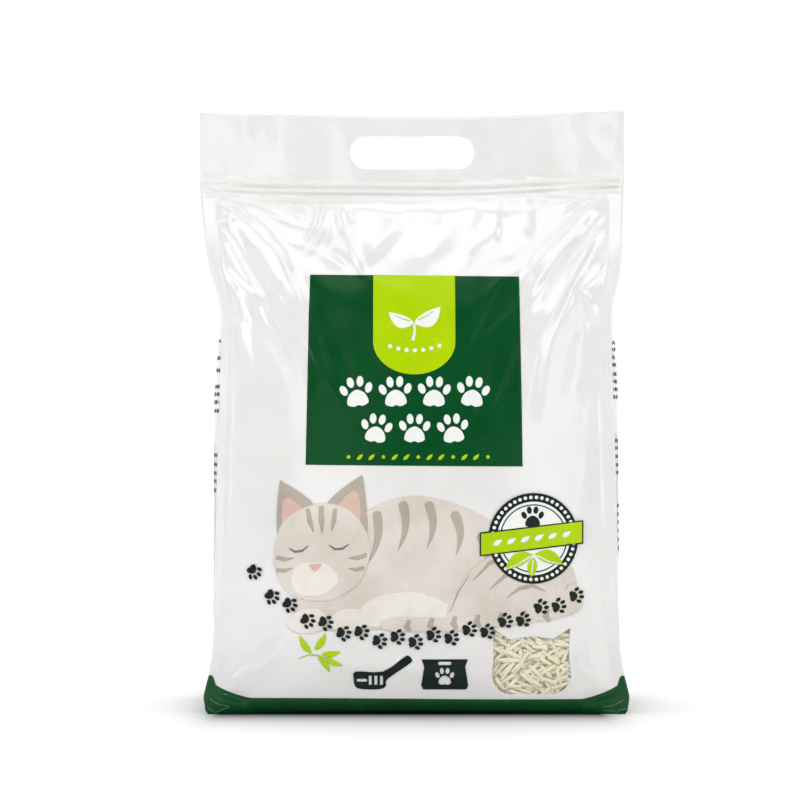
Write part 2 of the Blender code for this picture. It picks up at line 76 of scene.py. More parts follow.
# Folds of the film in mm: from x, z to x, z, bow to the left, half widths left and right
# of the line, height, and sharpness from 0, round, to 1, creased
frontFolds = (
    # left shoulder
    (-119, 314, -76, 272, 1, 9, 17, 5.0, 0.75),
    (-84, 280, -52, 196, 2, 12, 20, 3.2, 0.6),
    (-132, 300, -111, 302, 0, 6, 3, 2.4, 0.8),
    (-130, 292, -114, 290, 0, 7, 4, -1.4, 0.3),
    (-117, 294, -94, 252, -1, 5, 7, 2.0, 0.8),
    (-96, 256, -70, 196, -1, 6, 10, 1.8, 0.6),
    (-122, 274, -96, 250, 0, 6, 7, 2.8, 0.6),
    (-116, 266, -105, 240, 1, 4, 4, -2.0, 0.6),
    (-122, 240, -102, 239, 0, 5, 6, -2.6, 0.7),
    (-104, 244, -92, 190, 0, 9, 12, 0.9, 0.3),
    (-110, 258, -70, 182, 1, 7, 20, 1.6, 0.5),
    # loop and gathers under the strip
    (-83, 313, -57, 314, 13, 3, 3.4, 1.5, 0.6),
    (-78, 310, -63, 310, 5, 3.5, 3.5, 1.1, 0.2),
    (-57, 316, -68, 286, 2, 3, 3, 1.6, 0.6),
    (-52, 316, -65, 280, 3, 3, 3.6, 1.5, 0.6),
    (-48.5, 316, -54, 284, 0, 2.6, 3, 1.3, 0.6),
    (-47, 316, -41, 292, -2, 3, 4, 1.7, 0.6),
    (-41, 294, -30, 268, 0, 3, 6, 1.4, 0.7),
    (-40, 310, -37, 300, 0, 4, 4, 1.4, 0.2),
    (-50, 282, -34, 262, 2, 7, 7, -1.3, 0.2),
    # middle
    (-30, 276, 2, 316, 0, 20, 12, 2.4, 0.6),
    (16, 318, 4, 284, 2, 9, 9, -1.3, 0.2),
    (40, 312, 16, 268, 2, 10, 14, -1.8, 0.3),
    (57, 318, 54, 284, 0, 7, 5, -1.7, 0.3),
    (72, 316, 70, 292, 0, 6, 6, 1.1, 0.2),
    (52, 268, 28, 220, 1, 3, 6, 0.7, 0.7),
    (64, 252, 40, 232, 0, 3, 5, 0.5, 0.7),
    (60, 226, 44, 186, 1, 3, 5, 0.6, 0.7),
    (44, 214, 30, 176, 1, 4, 6, 0.4, 0.6),
    (-64, 258, -42, 202, -1, 5, 3, 0.6, 0.7),
    (-66, 226, -46, 190, -1, 5, 3, 0.5, 0.7),
    # right shoulder
    (118, 318, 64, 262, -2, 17, 5, 4.2, 0.7),
    (117, 304, 70, 248, -2, 6, 6, -2.4, 0.3),
    (115, 296, 72, 222, -2, 9, 12, 4.2, 0.6),
    (76, 232, 62, 170, 1, 12, 16, 1.3, 0.3),
    (108, 284, 80, 236, -1, 2.2, 2.2, 0.7, 0.4),
    (112, 284, 88, 236, -1, 2.2, 2.2, 0.6, 0.4),
    (123, 277, 101, 257, 0, 4, 8, 2.6, 0.8),
    (116, 262, 106, 250, 0, 5, 5, -1.8, 0.2),
    (100, 259, 118, 230, 0, 4, 7, 2.2, 0.7),
    (122, 241, 104, 238, 0, 6, 5, -2.4, 0.6),
    (104, 236, 94, 186, 1, 10, 12, 0.9, 0.3),
    # body
    (-112, 200, -104, 120, 1, 10, 14, 0.4, 0.2),
    (110, 196, 104, 110, -1, 12, 12, 0.4, 0.2),
    (-117, 15, -74, 47, 1, 9, 20, 2.0, 0.75),
    (-112, 20, -84, 34, 1, 4, 5, 0.9, 0.6),
    (-121, 14, -100, 7, 0, 6, 5, -1.4, 0.4),
    (118, 15, 94, 33, -1, 12, 9, 1.3, 0.6),
    (121, 14, 100, 7, 0, 5, 6, -1.4, 0.4),
    (104, 62, 100, 24, -2, 6, 6, 0.7, 0.4),
    (-84, 120, -100, 60, 2, 9, 11, 0.9, 0.3),
    (-60, 30, 40, 24, 2, 10, 12, 0.9, 0.2),
)
backFolds = (
    (-118, 314, -70, 262, 1, 8, 15, 3.8, 0.7),
    (-76, 270, -50, 180, 2, 12, 18, 2.4, 0.4),
    (-122, 272, -98, 248, 0, 6, 7, 2.6, 0.6),
    (-122, 240, -102, 238, 0, 5, 6, -2.4, 0.7),
    (-52, 316, -44, 276, 2, 4, 5, 1.6, 0.6),
    (-30, 316, -34, 286, 0, 3, 4, 1.2, 0.6),
    (0, 316, -14, 262, 2, 12, 14, 2.0, 0.5),
    (22, 316, 26, 284, 0, 5, 5, -1.3, 0.3),
    (60, 317, 50, 286, 2, 3.4, 3.4, 1.4, 0.6),
    (66, 317, 60, 292, 2, 3, 3, 1.2, 0.6),
    (118, 316, 66, 262, -2, 15, 6, 3.4, 0.6),
    (114, 296, 68, 214, -2, 9, 12, 3.2, 0.5),
    (74, 226, 58, 150, 1, 10, 14, 2.0, 0.4),
    (123, 274, 102, 256, 0, 4, 8, 2.4, 0.8),
    (122, 241, 104, 238, 0, 6, 5, -2.4, 0.6),
    (-60, 200, 52, 176, 6, 16, 22, 0.6, 0.2),
    (-118, 44, -88, 14, 3, 7, 8, -1.8, 0.5),
    (118, 46, 92, 14, -3, 8, 7, -1.8, 0.5),
    (-20, 90, 60, 40, 4, 14, 12, 0.9, 0.2),
)


def smooth(low, high, at):
    t = np.clip((at - low) / (high - low), 0.0, 1.0)
    return t * t * (3 - 2 * t)


def through(knots, at):
    # a smooth curve through (height, value) pairs that never overshoots them
    zs, vs = np.array(knots).T
    rise = np.diff(vs) / np.diff(zs)
    slope = np.empty(len(zs))
    slope[0], slope[-1] = rise[0], rise[-1]
    same = rise[:-1] * rise[1:] > 0
    total = np.where(same, rise[:-1] + rise[1:], 1.0)
    slope[1:-1] = np.where(same, 2 * rise[:-1] * rise[1:] / total, 0.0)
    at = np.clip(at, zs[0], zs[-1])
    i = np.clip(np.searchsorted(zs, at, side="right") - 1, 0, len(zs) - 2)
    span = zs[i + 1] - zs[i]
    t = (at - zs[i]) / span
    start = vs[i] * (1 + 2 * t) * (1 - t) ** 2 + slope[i] * span * t * (1 - t) ** 2
    end = vs[i + 1] * t * t * (3 - 2 * t) + slope[i + 1] * span * t * t * (t - 1)
    return start + end


# Along a fold: its width at the start and its gain, and where its height rises and fades
foldRun = {"width": 0.6, "widens": 0.5, "rises": (-0.12, 0.2), "fades": (0.7, 1.12)}


def foldHeight(folds, x, z):
    total = np.zeros_like(x)
    for ax, az, bx, bz, bow, left, right, high, sharp in folds:
        runX, runZ = (bx - ax) / 1000, (bz - az) / 1000
        length = math.hypot(runX, runZ)
        px, pz = x - ax / 1000, z - az / 1000
        t = (px * runX + pz * runZ) / length**2
        inside = np.clip(t, 0, 1)
        off = (px * runZ - pz * runX) / length  # positive to the right of the run
        off = off + bow / 1000 * 4 * inside * (1 - inside)
        past = (t - inside) * length
        wide = np.where(off > 0, right, left) / 1000 * (foldRun["width"] + foldRun["widens"] * inside)
        d = np.clip(np.sqrt(off**2 + past**2) / wide, 0, 1)
        domed = (1 - d * d) ** 2
        creased = (1 - d) ** 2
        fade = smooth(*foldRun["rises"], t) * (1 - smooth(*foldRun["fades"], t))
        total += high / 1000 * (domed * (1 - sharp) + creased * sharp) * fade
    return total


def crumple(x, z, seed, size, height):
    # slow unevenness of slack film, the same each run
    out = np.empty_like(x)
    for i, (a, b) in enumerate(zip(x.tolist(), z.tolist())):
        out[i] = noise.noise(Vector((a / size, seed, b / size)))
    return out * height


crease = {"corner": (0.121, 0.321), "turns": 5.2, "along": 11, "sharp": 5, "starts": (0.006, 0.03),
          "reach": 0.16, "fades": (0.45, 1.0), "height": 0.0008, "seeds": (5.3, 17.1)}
dent = {"size": 0.017, "stretch": 2.3, "height": 0.0007, "top": 0.318, "lean": 0.75,
        "leanWidth": 0.05, "rises": (0.228, 0.285), "calm": 0.22, "middle": (0.035, 0.08),
        "level": 0.4, "seed": 9.7}


def cornerCreases(x, z, side):
    # thin creases that fan out from both top corners
    out = np.zeros_like(x)
    cornerX, cornerZ = crease["corner"]
    for hand in (-1, 1):
        inward, down = cornerX - x * hand, cornerZ - z
        away = np.hypot(inward, down)
        turn = np.arctan2(down, inward)
        fade = smooth(*crease["fades"], away / crease["reach"])
        swell = smooth(*crease["starts"], away) * (1 - fade)
        seed = crease["seeds"][0] * hand + crease["seeds"][1] * side
        for i in np.where(swell > 0)[0].tolist():
            place = Vector((turn[i] * crease["turns"], away[i] * crease["along"], seed))
            sharpened = (1 - abs(noise.noise(place))) ** crease["sharp"]
            out[i] += sharpened * swell[i] * crease["height"]
    return out


def dents(x, z, side):
    # long facets of crumpled film, upright in the middle and slanting outwards at the shoulders
    out = np.zeros_like(x)
    lean = dent["lean"] * np.tanh(x / dent["leanWidth"])
    drop = z - dent["top"]
    along = (-x * np.sin(lean) - drop * np.cos(lean)) / (dent["size"] * dent["stretch"])
    across = (x * np.cos(lean) - drop * np.sin(lean)) / dent["size"]
    aside = smooth(*dent["middle"], np.abs(x))
    amount = smooth(*dent["rises"], z) * (dent["calm"] + (1 - dent["calm"]) * aside)
    for i in np.where(amount > 0)[0].tolist():
        nearest = noise.voronoi(Vector((across[i], along[i], dent["seed"] * side)))[0][0]
        out[i] = (nearest - dent["level"]) * amount[i] * dent["height"]
    return out


def finWidth(z):
    # folded small at the floor, with a rounded corner
    across, up = bag["finCorner"]
    low = np.clip(1 - z / up, 0, 1)
    corner = across * (1 - np.sqrt(1 - low**2))
    full = bag["finFoot"] + (bag["fin"] - bag["finFoot"]) * smooth(0.0, bag["finTop"], z)
    return full - corner


# Swellings over the closing strip in mm: height, level, half width and power. The waves give
# how fast they run up and along
strip = {
    "seat": (0.75, 0.6, 5.2, 4), "main": (1.5, 0.0, 1.2, 4), "thin": (0.85, 4.0, 0.8, 2),
    "lowGroove": (-0.95, -2.1, 0.55, 2), "highGroove": (-0.9, 2.1, 0.6, 2),
    "fan": (0.7, 1.5, 6.5, 2), "fanWave": (1.25, 110),
    "ripple": (0.3, 7.0, 3.0, 2), "rippleWave": (0.7, 310),
    "gathers": (0.9, -7.5, 3.4, 2), "gather": (3.0, 0.0065, 1.0), "upright": 0.2, "plain": 0.06,
    "level": 0.9, "wander": 0.35, "wanderWave": 47,
    "crushed": (0.066, 0.125), "flattened": 0.35, "sealed": (0.1270, 0.1318), "reach": 0.022,
}


def swelling(part, off):
    height, level, half, power = strip[part]
    return height * np.exp(-((off - level) / half) ** power)


def stripShape(x, z):
    # a ridge between two grooves, a thin ridge above, and ripples and gathers next to them
    away = np.abs(x)
    end = smooth(*strip["crushed"], away)
    off = (z - stripZ) * 1000 - strip["level"] + strip["wander"] * np.sin(x * strip["wanderWave"])
    ridges = sum(swelling(part, off) for part in ("main", "thin", "lowGroove", "highGroove"))
    lift = swelling("seat", off) + ridges * (1 - strip["flattened"] * end)
    up, along = strip["fanWave"]
    fan = swelling("fan", off) * np.sin(off * up + x * along) * end
    up, along = strip["rippleWave"]
    ripple = swelling("ripple", off) * np.sin(x * along + off * up)
    gathers = swelling("gathers", off) * crumple(x, strip["upright"] * z, *strip["gather"])
    sealed = 1 - smooth(*strip["sealed"], away)
    return (lift + fan + (ripple + gathers) * smooth(0.0, strip["plain"], away)) * sealed / 1000


# How the film hangs: powers of its curve across, distances below the strip where it is drawn
# tight, and seed, size and height of its unevenness
slackFilm = {
    "belly": 2.3, "held": 14, "slackFrom": (0.14, 0.25), "slackTo": (0.016, 0.004),
    "freeTo": (0.012, 0.003), "weld": 0.002, "taut": 0.14,
    "slow": (3.1, 0.034, 0.0011), "quick": (7.7, 0.013, 0.0003),
    "sealDepth": 0.0003, "sealWidth": 0.0006, "least": 0.0003,
}


def drawnTight(z, key):
    far, near = slackFilm[key]
    return 1 - smooth(stripZ - far, stripZ - near, z)


def panelDepth(side, x, z):
    # how far the film's outside lies from the middle plane; side is -1 at the front
    half = through(bag["seam"], z)
    u = np.clip(np.abs(x) / half, 0, 1)
    seam, belly = through(bag["corner"], z), through(bag["belly"], z)
    depth = seam + (belly - seam) * (1 - u ** slackFilm["belly"])
    slack = smooth(*slackFilm["slackFrom"], z) * drawnTight(z, "slackTo")
    free = (1 - u ** slackFilm["held"]) * drawnTight(z, "freeTo")
    folds = foldHeight(frontFolds if side < 0 else backFolds, x, z)
    uneven = 0
    for seed, size, height in (slackFilm["slow"], slackFilm["quick"]):
        uneven = uneven + crumple(x, z, seed * side, size, height)
    uneven = uneven * (slackFilm["taut"] + (1 - slackFilm["taut"]) * slack)
    uneven = uneven + cornerCreases(x, z, side) + dents(x, z, side)
    depth = depth + (folds + uneven) * free
    fromSeal = (np.abs(x) - half) / slackFilm["sealWidth"]
    depth = depth - slackFilm["sealDepth"] * np.exp(-(fromSeal**2))
    above = smooth(stripZ - slackFilm["weld"], stripZ + slackFilm["weld"], z)
    depth = depth * (1 - above) + bag["plate"] * above
    near = np.abs(z - stripZ) < strip["reach"]
    ridges = np.zeros_like(x)
    ridges[near] = stripShape(x[near], z[near])
    return np.maximum(depth + ridges, slackFilm["least"])


# Waves and start of the header's slow bend, then seed, size and height of its folds
headerFolds = {"bend": (0.72, 0.08), "slant": 0.12, "upright": 0.3, "rises": 0.3,
               "wide": (21.0, 0.034, 0.0046), "narrow": (33.0, 0.012, 0.0005)}


def headerWave(x, z):
    u = x / (bag["width"] / 2)
    free = np.clip((z - stripZ) / bag["header"], 0, 1)
    waves, start = headerFolds["bend"]
    slow = bag["wave"] * np.sin(2 * math.pi * (waves * u + start)) * free
    folds = np.zeros_like(x)
    up = np.where(free > 0)[0]
    slanted = x[up] + headerFolds["slant"] * (z[up] - stripZ)
    folds[up] = crumple(slanted, headerFolds["upright"] * z[up], *headerFolds["wide"])
    folds[up] += crumple(x[up], z[up], *headerFolds["narrow"])
    return slow + folds * smooth(0.0, headerFolds["rises"], free)


def leanAt(z):
    return bag["lean"] * smooth(bag["leanFrom"], stripZ, z)


def hang(x, y, z):
    # the limp top: it leans, sags between its corners and waves front to back
    u = x / (bag["width"] / 2)
    limp = smooth(bag["limpFrom"], stripZ, z)
    free = np.clip((z - stripZ) / bag["header"], 0, 1)
    skew = bag["sagSkew"]
    sag = bag["sag"] * (u * u + skew * u - 1 - skew) * (limp - bag["sagHeld"] * free)
    rise = sag + bag["stretch"] * free
    return np.stack((x - leanAt(z), y + headerWave(x, z), z + rise), axis=1)


def onPanel(side, x, z, lift=0.0):
    return hang(x, side * (panelDepth(side, x, z) + lift), z)


def onFront(x, z, lift=0.0):
    # for print, placed by where it is seen
    return onPanel(-1, x + leanAt(z), z, lift)


def inScene(name, data):
    made = bpy.data.objects.new(name, data)
    bpy.context.scene.collection.objects.link(made)
    return made


def addPiece(name, bm, material, replaces=()):
    mesh = bpy.data.meshes.new(name)
    bm.to_mesh(mesh)
    bm.free()
    piece = inScene(name, mesh)
    mesh.materials.append(material)
    mesh.shade_smooth()
    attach(piece, "root")
    if replaces:
        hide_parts(*replaces)
    return piece


def coordinates(bm):
    bm.verts.ensure_lookup_table()
    return np.array([v.co[:] for v in bm.verts])


def setCoordinates(bm, points):
    for v, p in zip(bm.verts, points.tolist()):
        v.co = p


def gridSheet(columns, rows):
    # a flat sheet from -0.5 to 0.5 both ways, and where its points are
    bm = bmesh.new()
    bmesh.ops.create_grid(bm, x_segments=columns, y_segments=rows, size=0.5)
    return bm, coordinates(bm)


def filmPiece(name, bm, points, material, thickness, replaces=()):
    # a sheet moved to its points on the bag, with its thickness inwards
    setCoordinates(bm, points)
    faceOut(bm)
    piece = addPiece(name, bm, material, replaces)
    wall = piece.modifiers.new("film wall", "SOLIDIFY")
    wall.thickness, wall.offset = thickness, -1.0
    return piece


def faceOut(bm):
    # turns an open sheet so that it faces away from the bag's middle
    bm.normal_update()
    heart = Vector(bag["heart"])
    lean = sum((f.calc_center_median() - heart).dot(f.normal) * f.calc_area() for f in bm.faces)
    if lean < 0:
        bmesh.ops.reverse_faces(bm, faces=bm.faces)


def sliceAlong(bm, xs, zs):
    for normal, axis, places in (((1, 0, 0), 0, xs), ((0, 0, 1), 2, zs)):
        for place in places:
            at = [0.0, 0.0, 0.0]
            at[axis] = float(place)
            geom = bm.verts[:] + bm.edges[:] + bm.faces[:]
            bmesh.ops.bisect_plane(bm, geom=geom, dist=1e-7, plane_co=at, plane_no=normal)


def fillLoops(loops):
    # flat faces in the xz plane between closed loops of points; inner loops are holes
    bm = bmesh.new()
    for loop in loops:
        verts = [bm.verts.new((x, 0.0, z)) for x, z in loop]
        for a, b in zip(verts, verts[1:] + verts[:1]):
            bm.edges.new((a, b))
    bmesh.ops.triangle_fill(bm, use_beauty=True, use_dissolve=False, edges=bm.edges[:])
    return bm


def sheetWithHoles(xs, zs, holes):
    # a flat grid with columns xs and rows zs; round each hole a patch is sliced on the same lines
    bm, grid = gridSheet(len(xs) - 1, len(zs) - 1)
    column = np.rint((grid[:, 0] + 0.5) * (len(xs) - 1)).astype(int)
    row = np.rint((grid[:, 1] + 0.5) * (len(zs) - 1)).astype(int)
    setCoordinates(bm, np.stack((xs[column], np.zeros(len(grid)), zs[row]), axis=1))
    for hole in holes:
        points = np.array(hole)
        left = xs[np.searchsorted(xs, points[:, 0].min()) - 1]
        right = xs[np.searchsorted(xs, points[:, 0].max())]
        low = zs[np.searchsorted(zs, points[:, 1].min()) - 1]
        high = zs[np.searchsorted(zs, points[:, 1].max())]
        middles = [(f, f.calc_center_median()) for f in bm.faces]
        inside = [f for f, at in middles if left < at.x < right and low < at.z < high]
        bmesh.ops.delete(bm, geom=inside, context="FACES")
        block = [(left, low), (right, low), (right, high), (left, high)]
        patch = fillLoops([block, hole])
        sliceAlong(patch, xs[(xs > left) & (xs < right)], zs[(zs > low) & (zs < high)])
        mesh = bpy.data.meshes.new("patch")
        patch.to_mesh(mesh)
        patch.free()
        bm.from_mesh(mesh)
        bpy.data.meshes.remove(mesh)
    bmesh.ops.remove_doubles(bm, verts=bm.verts, dist=1e-6)
    bmesh.ops.recalc_face_normals(bm, faces=bm.faces)
    return bm


def arcPoints(cx, cz, radiusX, radiusZ, start, end, count):
    turns = [math.radians(start + (end - start) * i / count) for i in range(count + 1)]
    return [(cx + radiusX * math.cos(t), cz + radiusZ * math.sin(t)) for t in turns]


def stadium(cx, cz, length, height):
    r = height / 2
    run = length / 2 - r
    right = arcPoints(cx + run, cz, r, r, -90, 90, 14)
    return right + arcPoints(cx - run, cz, r, r, 90, 270, 14)


# Materials

def cloudiness(tree, coords, scale, detail):
    node = tree.nodes.new("ShaderNodeTexNoise")
    node.inputs["Scale"].default_value = scale
    node.inputs["Detail"].default_value = detail
    tree.links.new(coords, node.inputs["Vector"])
    return node.outputs[0]


def mapRange(tree, value, low, high, fromLow=0.3, fromHigh=0.7):
    # a smooth step from low to high, by default over the values that noise mostly gives
    node = tree.nodes.new("ShaderNodeMapRange")
    node.interpolation_type = "SMOOTHSTEP"
    node.inputs["From Min"].default_value = fromLow
    node.inputs["From Max"].default_value = fromHigh
    node.inputs["To Min"].default_value = low
    node.inputs["To Max"].default_value = high
    tree.links.new(value, node.inputs["Value"])
    return node.outputs["Result"]


def mixColours(tree, factor, first, second):
    node = tree.nodes.new("ShaderNodeMix")
    node.data_type = "RGBA"
    node.inputs["A"].default_value = (*first, 1.0)
    node.inputs["B"].default_value = (*second, 1.0)
    tree.links.new(factor, node.inputs["Factor"])
    return node.outputs["Result"]


def bumpFrom(tree, height, strength, distance, below=None):
    node = tree.nodes.new("ShaderNodeBump")
    node.inputs["Strength"].default_value = strength
    node.inputs["Distance"].default_value = distance
    tree.links.new(height, node.inputs["Height"])
    if below is not None:
        tree.links.new(below, node.inputs["Normal"])
    return node.outputs["Normal"]


def rgb(red, green, blue):
    # a screen colour, 0 to 255, as the linear values that shaders take
    scaled = [c / 255 for c in (red, green, blue)]
    return tuple(c / 12.92 if c <= 0.04045 else ((c + 0.055) / 1.055) ** 2.4 for c in scaled)


def newMaterial(name):
    material = bpy.data.materials.new(name)
    material.use_nodes = True
    tree = material.node_tree
    coords = tree.nodes.new("ShaderNodeTexCoord").outputs["Object"]
    return material, tree, tree.nodes["Principled BSDF"], coords


# Grains to the metre of the film's tint, sheen and bumps, then strength and depth of the bumps
filmGrain = {"tint": 34, "sheen": 85, "soft": 60, "fine": 420,
             "softBump": (0.35, 0.0016), "fineBump": (0.06, 0.0003)}


def filmMaterial(name, colour, second, rough, crinkle, gloss=0.5):
    material, tree, shader, coords = newMaterial(name)
    tint = mapRange(tree, cloudiness(tree, coords, filmGrain["tint"], 3), 0.0, 1.0)
    tree.links.new(mixColours(tree, tint, colour, second), shader.inputs["Base Color"])
    sheen = mapRange(tree, cloudiness(tree, coords, filmGrain["sheen"], 2), *rough)
    tree.links.new(sheen, shader.inputs["Roughness"])
    strength, depth = filmGrain["softBump"]
    waves = cloudiness(tree, coords, filmGrain["soft"], 3)
    soft = bumpFrom(tree, waves, strength * crinkle, depth)
    grain = cloudiness(tree, coords, filmGrain["fine"], 2)
    fine = bumpFrom(tree, grain, *filmGrain["fineBump"], soft)
    tree.links.new(fine, shader.inputs["Normal"])
    shader.inputs["Specular IOR Level"].default_value = gloss
    return material


def plainMaterial(name, colour, second, rough, scale, bump=0.0, alpha=1.0):
    material, tree, shader, coords = newMaterial(name)
    grain = cloudiness(tree, coords, scale, 4)
    tint = mapRange(tree, grain, 0.0, 1.0)
    tree.links.new(mixColours(tree, tint, colour, second), shader.inputs["Base Color"])
    shader.inputs["Roughness"].default_value = rough
    shader.inputs["Alpha"].default_value = alpha
    if bump:
        tree.links.new(bumpFrom(tree, grain, bump, 0.0006), shader.inputs["Normal"])
    return material


whiteFilm = filmMaterial("white film", rgb(238, 237, 235), rgb(234, 233, 231), (0.09, 0.15), 0.6, 0.8)
darkGreen = filmMaterial("dark green print", rgb(3, 72, 32), rgb(6, 78, 36), (0.2, 0.28), 0.7, 0.15)
baseGreen = filmMaterial("base green print", rgb(4, 70, 32), rgb(8, 80, 38), (0.2, 0.28), 1.1, 0.32)
limeGreen = filmMaterial("lime print", rgb(172, 208, 2), rgb(180, 214, 5), (0.2, 0.28), 0.7, 0.15)
whiteInk = filmMaterial("white ink", rgb(246, 247, 244), rgb(240, 242, 238), (0.2, 0.3), 0.7)
darkInk = filmMaterial("dark ink", rgb(8, 26, 18), rgb(14, 34, 24), (0.22, 0.3), 0.7, 0.2)
print("materials made")

# Film panels

panel = {"columns": 200, "backColumns": 150, "coarse": 0.003, "fine": 0.00118, "fineFrom": 0.2,
         "stripFrom": 0.3145, "stripStep": 0.00046, "coarseTop": 0.334, "topRows": 25}
slotHole = {"length": 0.0785, "height": 0.0197, "drop": 0.0209}
window = {"x": 0.0695, "z": 0.0325, "width": 0.048, "height": 0.040, "ear": 0.006}


def windowLoop(inset=0.0):
    # a cat's-head outline with round cheeks, going round from the left ear's tip
    w, h = window["width"] / 2 - inset, window["height"] / 2 - inset
    cx, cz, ear = window["x"], window["z"], window["ear"]
    valley = cz + h - 1.15 * ear
    crown = [(cx + w * (-0.55 + 1.1 * i / 10), valley + 0.3 * ear * math.sin(math.pi * i / 10))
             for i in range(11)]
    chin = arcPoints(cx + 0.5 * w, cz - 0.42 * h, 0.5 * w, 0.58 * h, 0, -90, 10)
    chin += arcPoints(cx - 0.5 * w, cz - 0.42 * h, 0.5 * w, 0.58 * h, -90, -180, 10)
    left = [(cx - 0.955 * w, cz + 0.1 * h), (cx - 0.955 * w, cz + 0.45 * h)]
    right = [(cx + 0.955 * w, cz + 0.45 * h), (cx + 0.955 * w, cz + 0.1 * h)]
    return [(cx - 0.98 * w, cz + h), *crown, (cx + 0.98 * w, cz + h), *right, *chin, *left]


def rowsOfFilm():
    # close together at the floor, where the fins are rounded
    foot, above = np.array([0.0, 0.0003, 0.0007, 0.0012]), bag["finCorner"][1]
    low = np.concatenate((foot, np.arange(above, panel["fineFrom"], panel["coarse"])))
    middle = np.arange(panel["fineFrom"], panel["stripFrom"], panel["fine"])
    overStrip = np.arange(panel["stripFrom"], panel["coarseTop"], panel["stripStep"])
    top = np.linspace(panel["coarseTop"], bag["height"], panel["topRows"])
    return np.concatenate((low, middle, overStrip, top))


def reachAt(z):
    # from the middle to the fin's tip
    return through(bag["seam"], z) + finWidth(z)


def filmPanel(name, side, holes, columns):
    # the flat sheet is as wide as the header, and its columns run from fin tip to fin tip
    tip = bag["width"] / 2
    bm = sheetWithHoles(np.linspace(-tip, tip, columns + 1), rowsOfFilm(), holes)
    flat = coordinates(bm)
    z = flat[:, 2]
    width = np.where(z < stripZ, reachAt(z), tip)
    points = onPanel(side, flat[:, 0] * width / tip, z)
    filmPiece(name, bm, points, whiteFilm, bag["film"], ["film_envelope"])


def unspread(loop):
    # where a point of the standing film lies on the flat sheet
    out = []
    for x, z in loop:
        reach = float(reachAt(z)) if z < stripZ else bag["width"] / 2
        out.append((x * bag["width"] / 2 / reach, z))
    return out


slotLoop = stadium(0.0, bag["height"] - slotHole["drop"], slotHole["length"], slotHole["height"])
filmPanel("front_film", -1, [unspread(windowLoop()), slotLoop], panel["columns"])
filmPanel("back_film", 1, [slotLoop], panel["backColumns"])
print("front and back film made")

gusset = {
    "columns": 56, "rows": 210, "finShare": 0.07, "step": 0.00035, "least": 0.0004, "tuckPower": 1.3,
    "crease": 0.0016, "creaseWidth": 0.0025, "creaseFrom": 0.03,
    "ripple": (11.0, 0.017, 0.0016), "rippleWidth": 0.03, "calm": 0.35, "slackFrom": (0.17, 0.245),
    "fan": 0.0012, "fanWave": (420, 5), "fanAt": (0.236, 0.02), "top": 0.001,
}


def onGusset(hand, s, z, lift=0.0):
    # s runs from the front fin's tip over the side to the back fin's tip
    half, seam = through(bag["seam"], z), through(bag["corner"], z)
    inside = np.maximum(seam - gusset["step"], gusset["least"])
    share = gusset["finShare"]
    v = np.clip(1 - 2 * (s - share) / (1 - 2 * share), -1, 1)
    reach = through(bag["tuck"], z)
    out = reach * (1 - np.where(reach > 0, v * v, np.abs(v) ** gusset["tuckPower"]))
    onFin = np.clip(1 - np.minimum(s, 1 - s) / share, 0, 1)
    fold = np.exp(-((v * inside / gusset["creaseWidth"]) ** 2)) * smooth(0.0, gusset["creaseFrom"], z)
    seed, size, height = gusset["ripple"]
    ripple = crumple(v * gusset["rippleWidth"], z, seed * hand, size, height)
    ripple = ripple * (gusset["calm"] + smooth(*gusset["slackFrom"], z))
    up, across = gusset["fanWave"]
    level, high = gusset["fanAt"]
    fans = gusset["fan"] * np.sin(z * up + np.abs(v) * across) * np.exp(-(((z - level) / high) ** 2))
    out = out + (ripple + fans - gusset["crease"] * fold + lift) * (1 - v**6)
    x = half + out * (onFin == 0) + finWidth(z) * onFin
    return hang(hand * x, -inside * v + lift * np.sign(v) * (onFin > 0), z)


def gussetFilm(name, hand):
    bm, grid = gridSheet(gusset["columns"], gusset["rows"])
    z = (grid[:, 1] + 0.5) * (stripZ - gusset["top"])
    points = onGusset(hand, grid[:, 0] + 0.5, z)
    filmPiece(name, bm, points, whiteFilm, bag["film"], ["film_envelope"])


gussetFilm("left_gusset", -1)
gussetFilm("right_gusset", 1)


def bottomFilm():
    bm, grid = gridSheet(60, 20)
    flat = np.zeros(len(grid))
    x = grid[:, 0] * 2 * bag["seam"][0][1]
    y = grid[:, 1] * 2 * panelDepth(-1, x, flat)
    points = np.stack((x, y, flat), axis=1)
    filmPiece("bottom_film", bm, points, baseGreen, bag["film"], ["film_envelope"])


bottomFilm()
print("gussets and bottom made")

# Green band round the base
band = {
    "lift": 0.0003, "ink": 0.00008, "reach": 0.128, "middle": 0.0098, "corner": 0.0180,
    "turn": (0.100, 0.023), "fin": (0.1222, 0.0034), "finRise": 0.0055, "wave": (0.0004, 22),
    "side": 0.0325, "sideDip": 0.003, "sideWave": (0.0008, 9),
    "columns": 170, "rows": 12, "sideRows": 16,
}


def bandTop(x):
    # level along the front, turning up before each corner and once more on the fin
    near, onFin = (np.clip((np.abs(x) - start) / run, 0, 1)
                   for start, run in (band["turn"], band["fin"]))
    rise = (band["corner"] - band["middle"]) * (0.45 * near**2 + 0.55 * near)
    height, turns = band["wave"]
    return band["middle"] + rise + band["finRise"] * onFin - height * np.sin(x * turns)


def panelBand(name, side):
    bm, grid = gridSheet(band["columns"], band["rows"])
    u, w = grid[:, 0] * 2, grid[:, 1] + 0.5
    z = w * bandTop(u * band["reach"])
    filmPiece(name, bm, onPanel(side, u * reachAt(z), z, band["lift"]), baseGreen, band["ink"])


def gussetBand(name, hand):
    bm, grid = gridSheet(gusset["columns"], band["sideRows"])
    s, w = grid[:, 0] + 0.5, grid[:, 1] + 0.5
    height, turns = band["sideWave"]
    top = band["side"] - band["sideDip"] * np.sin(math.pi * s) + height * np.sin(turns * s)
    filmPiece(name, bm, onGusset(hand, s, w * top, band["lift"]), baseGreen, band["ink"])


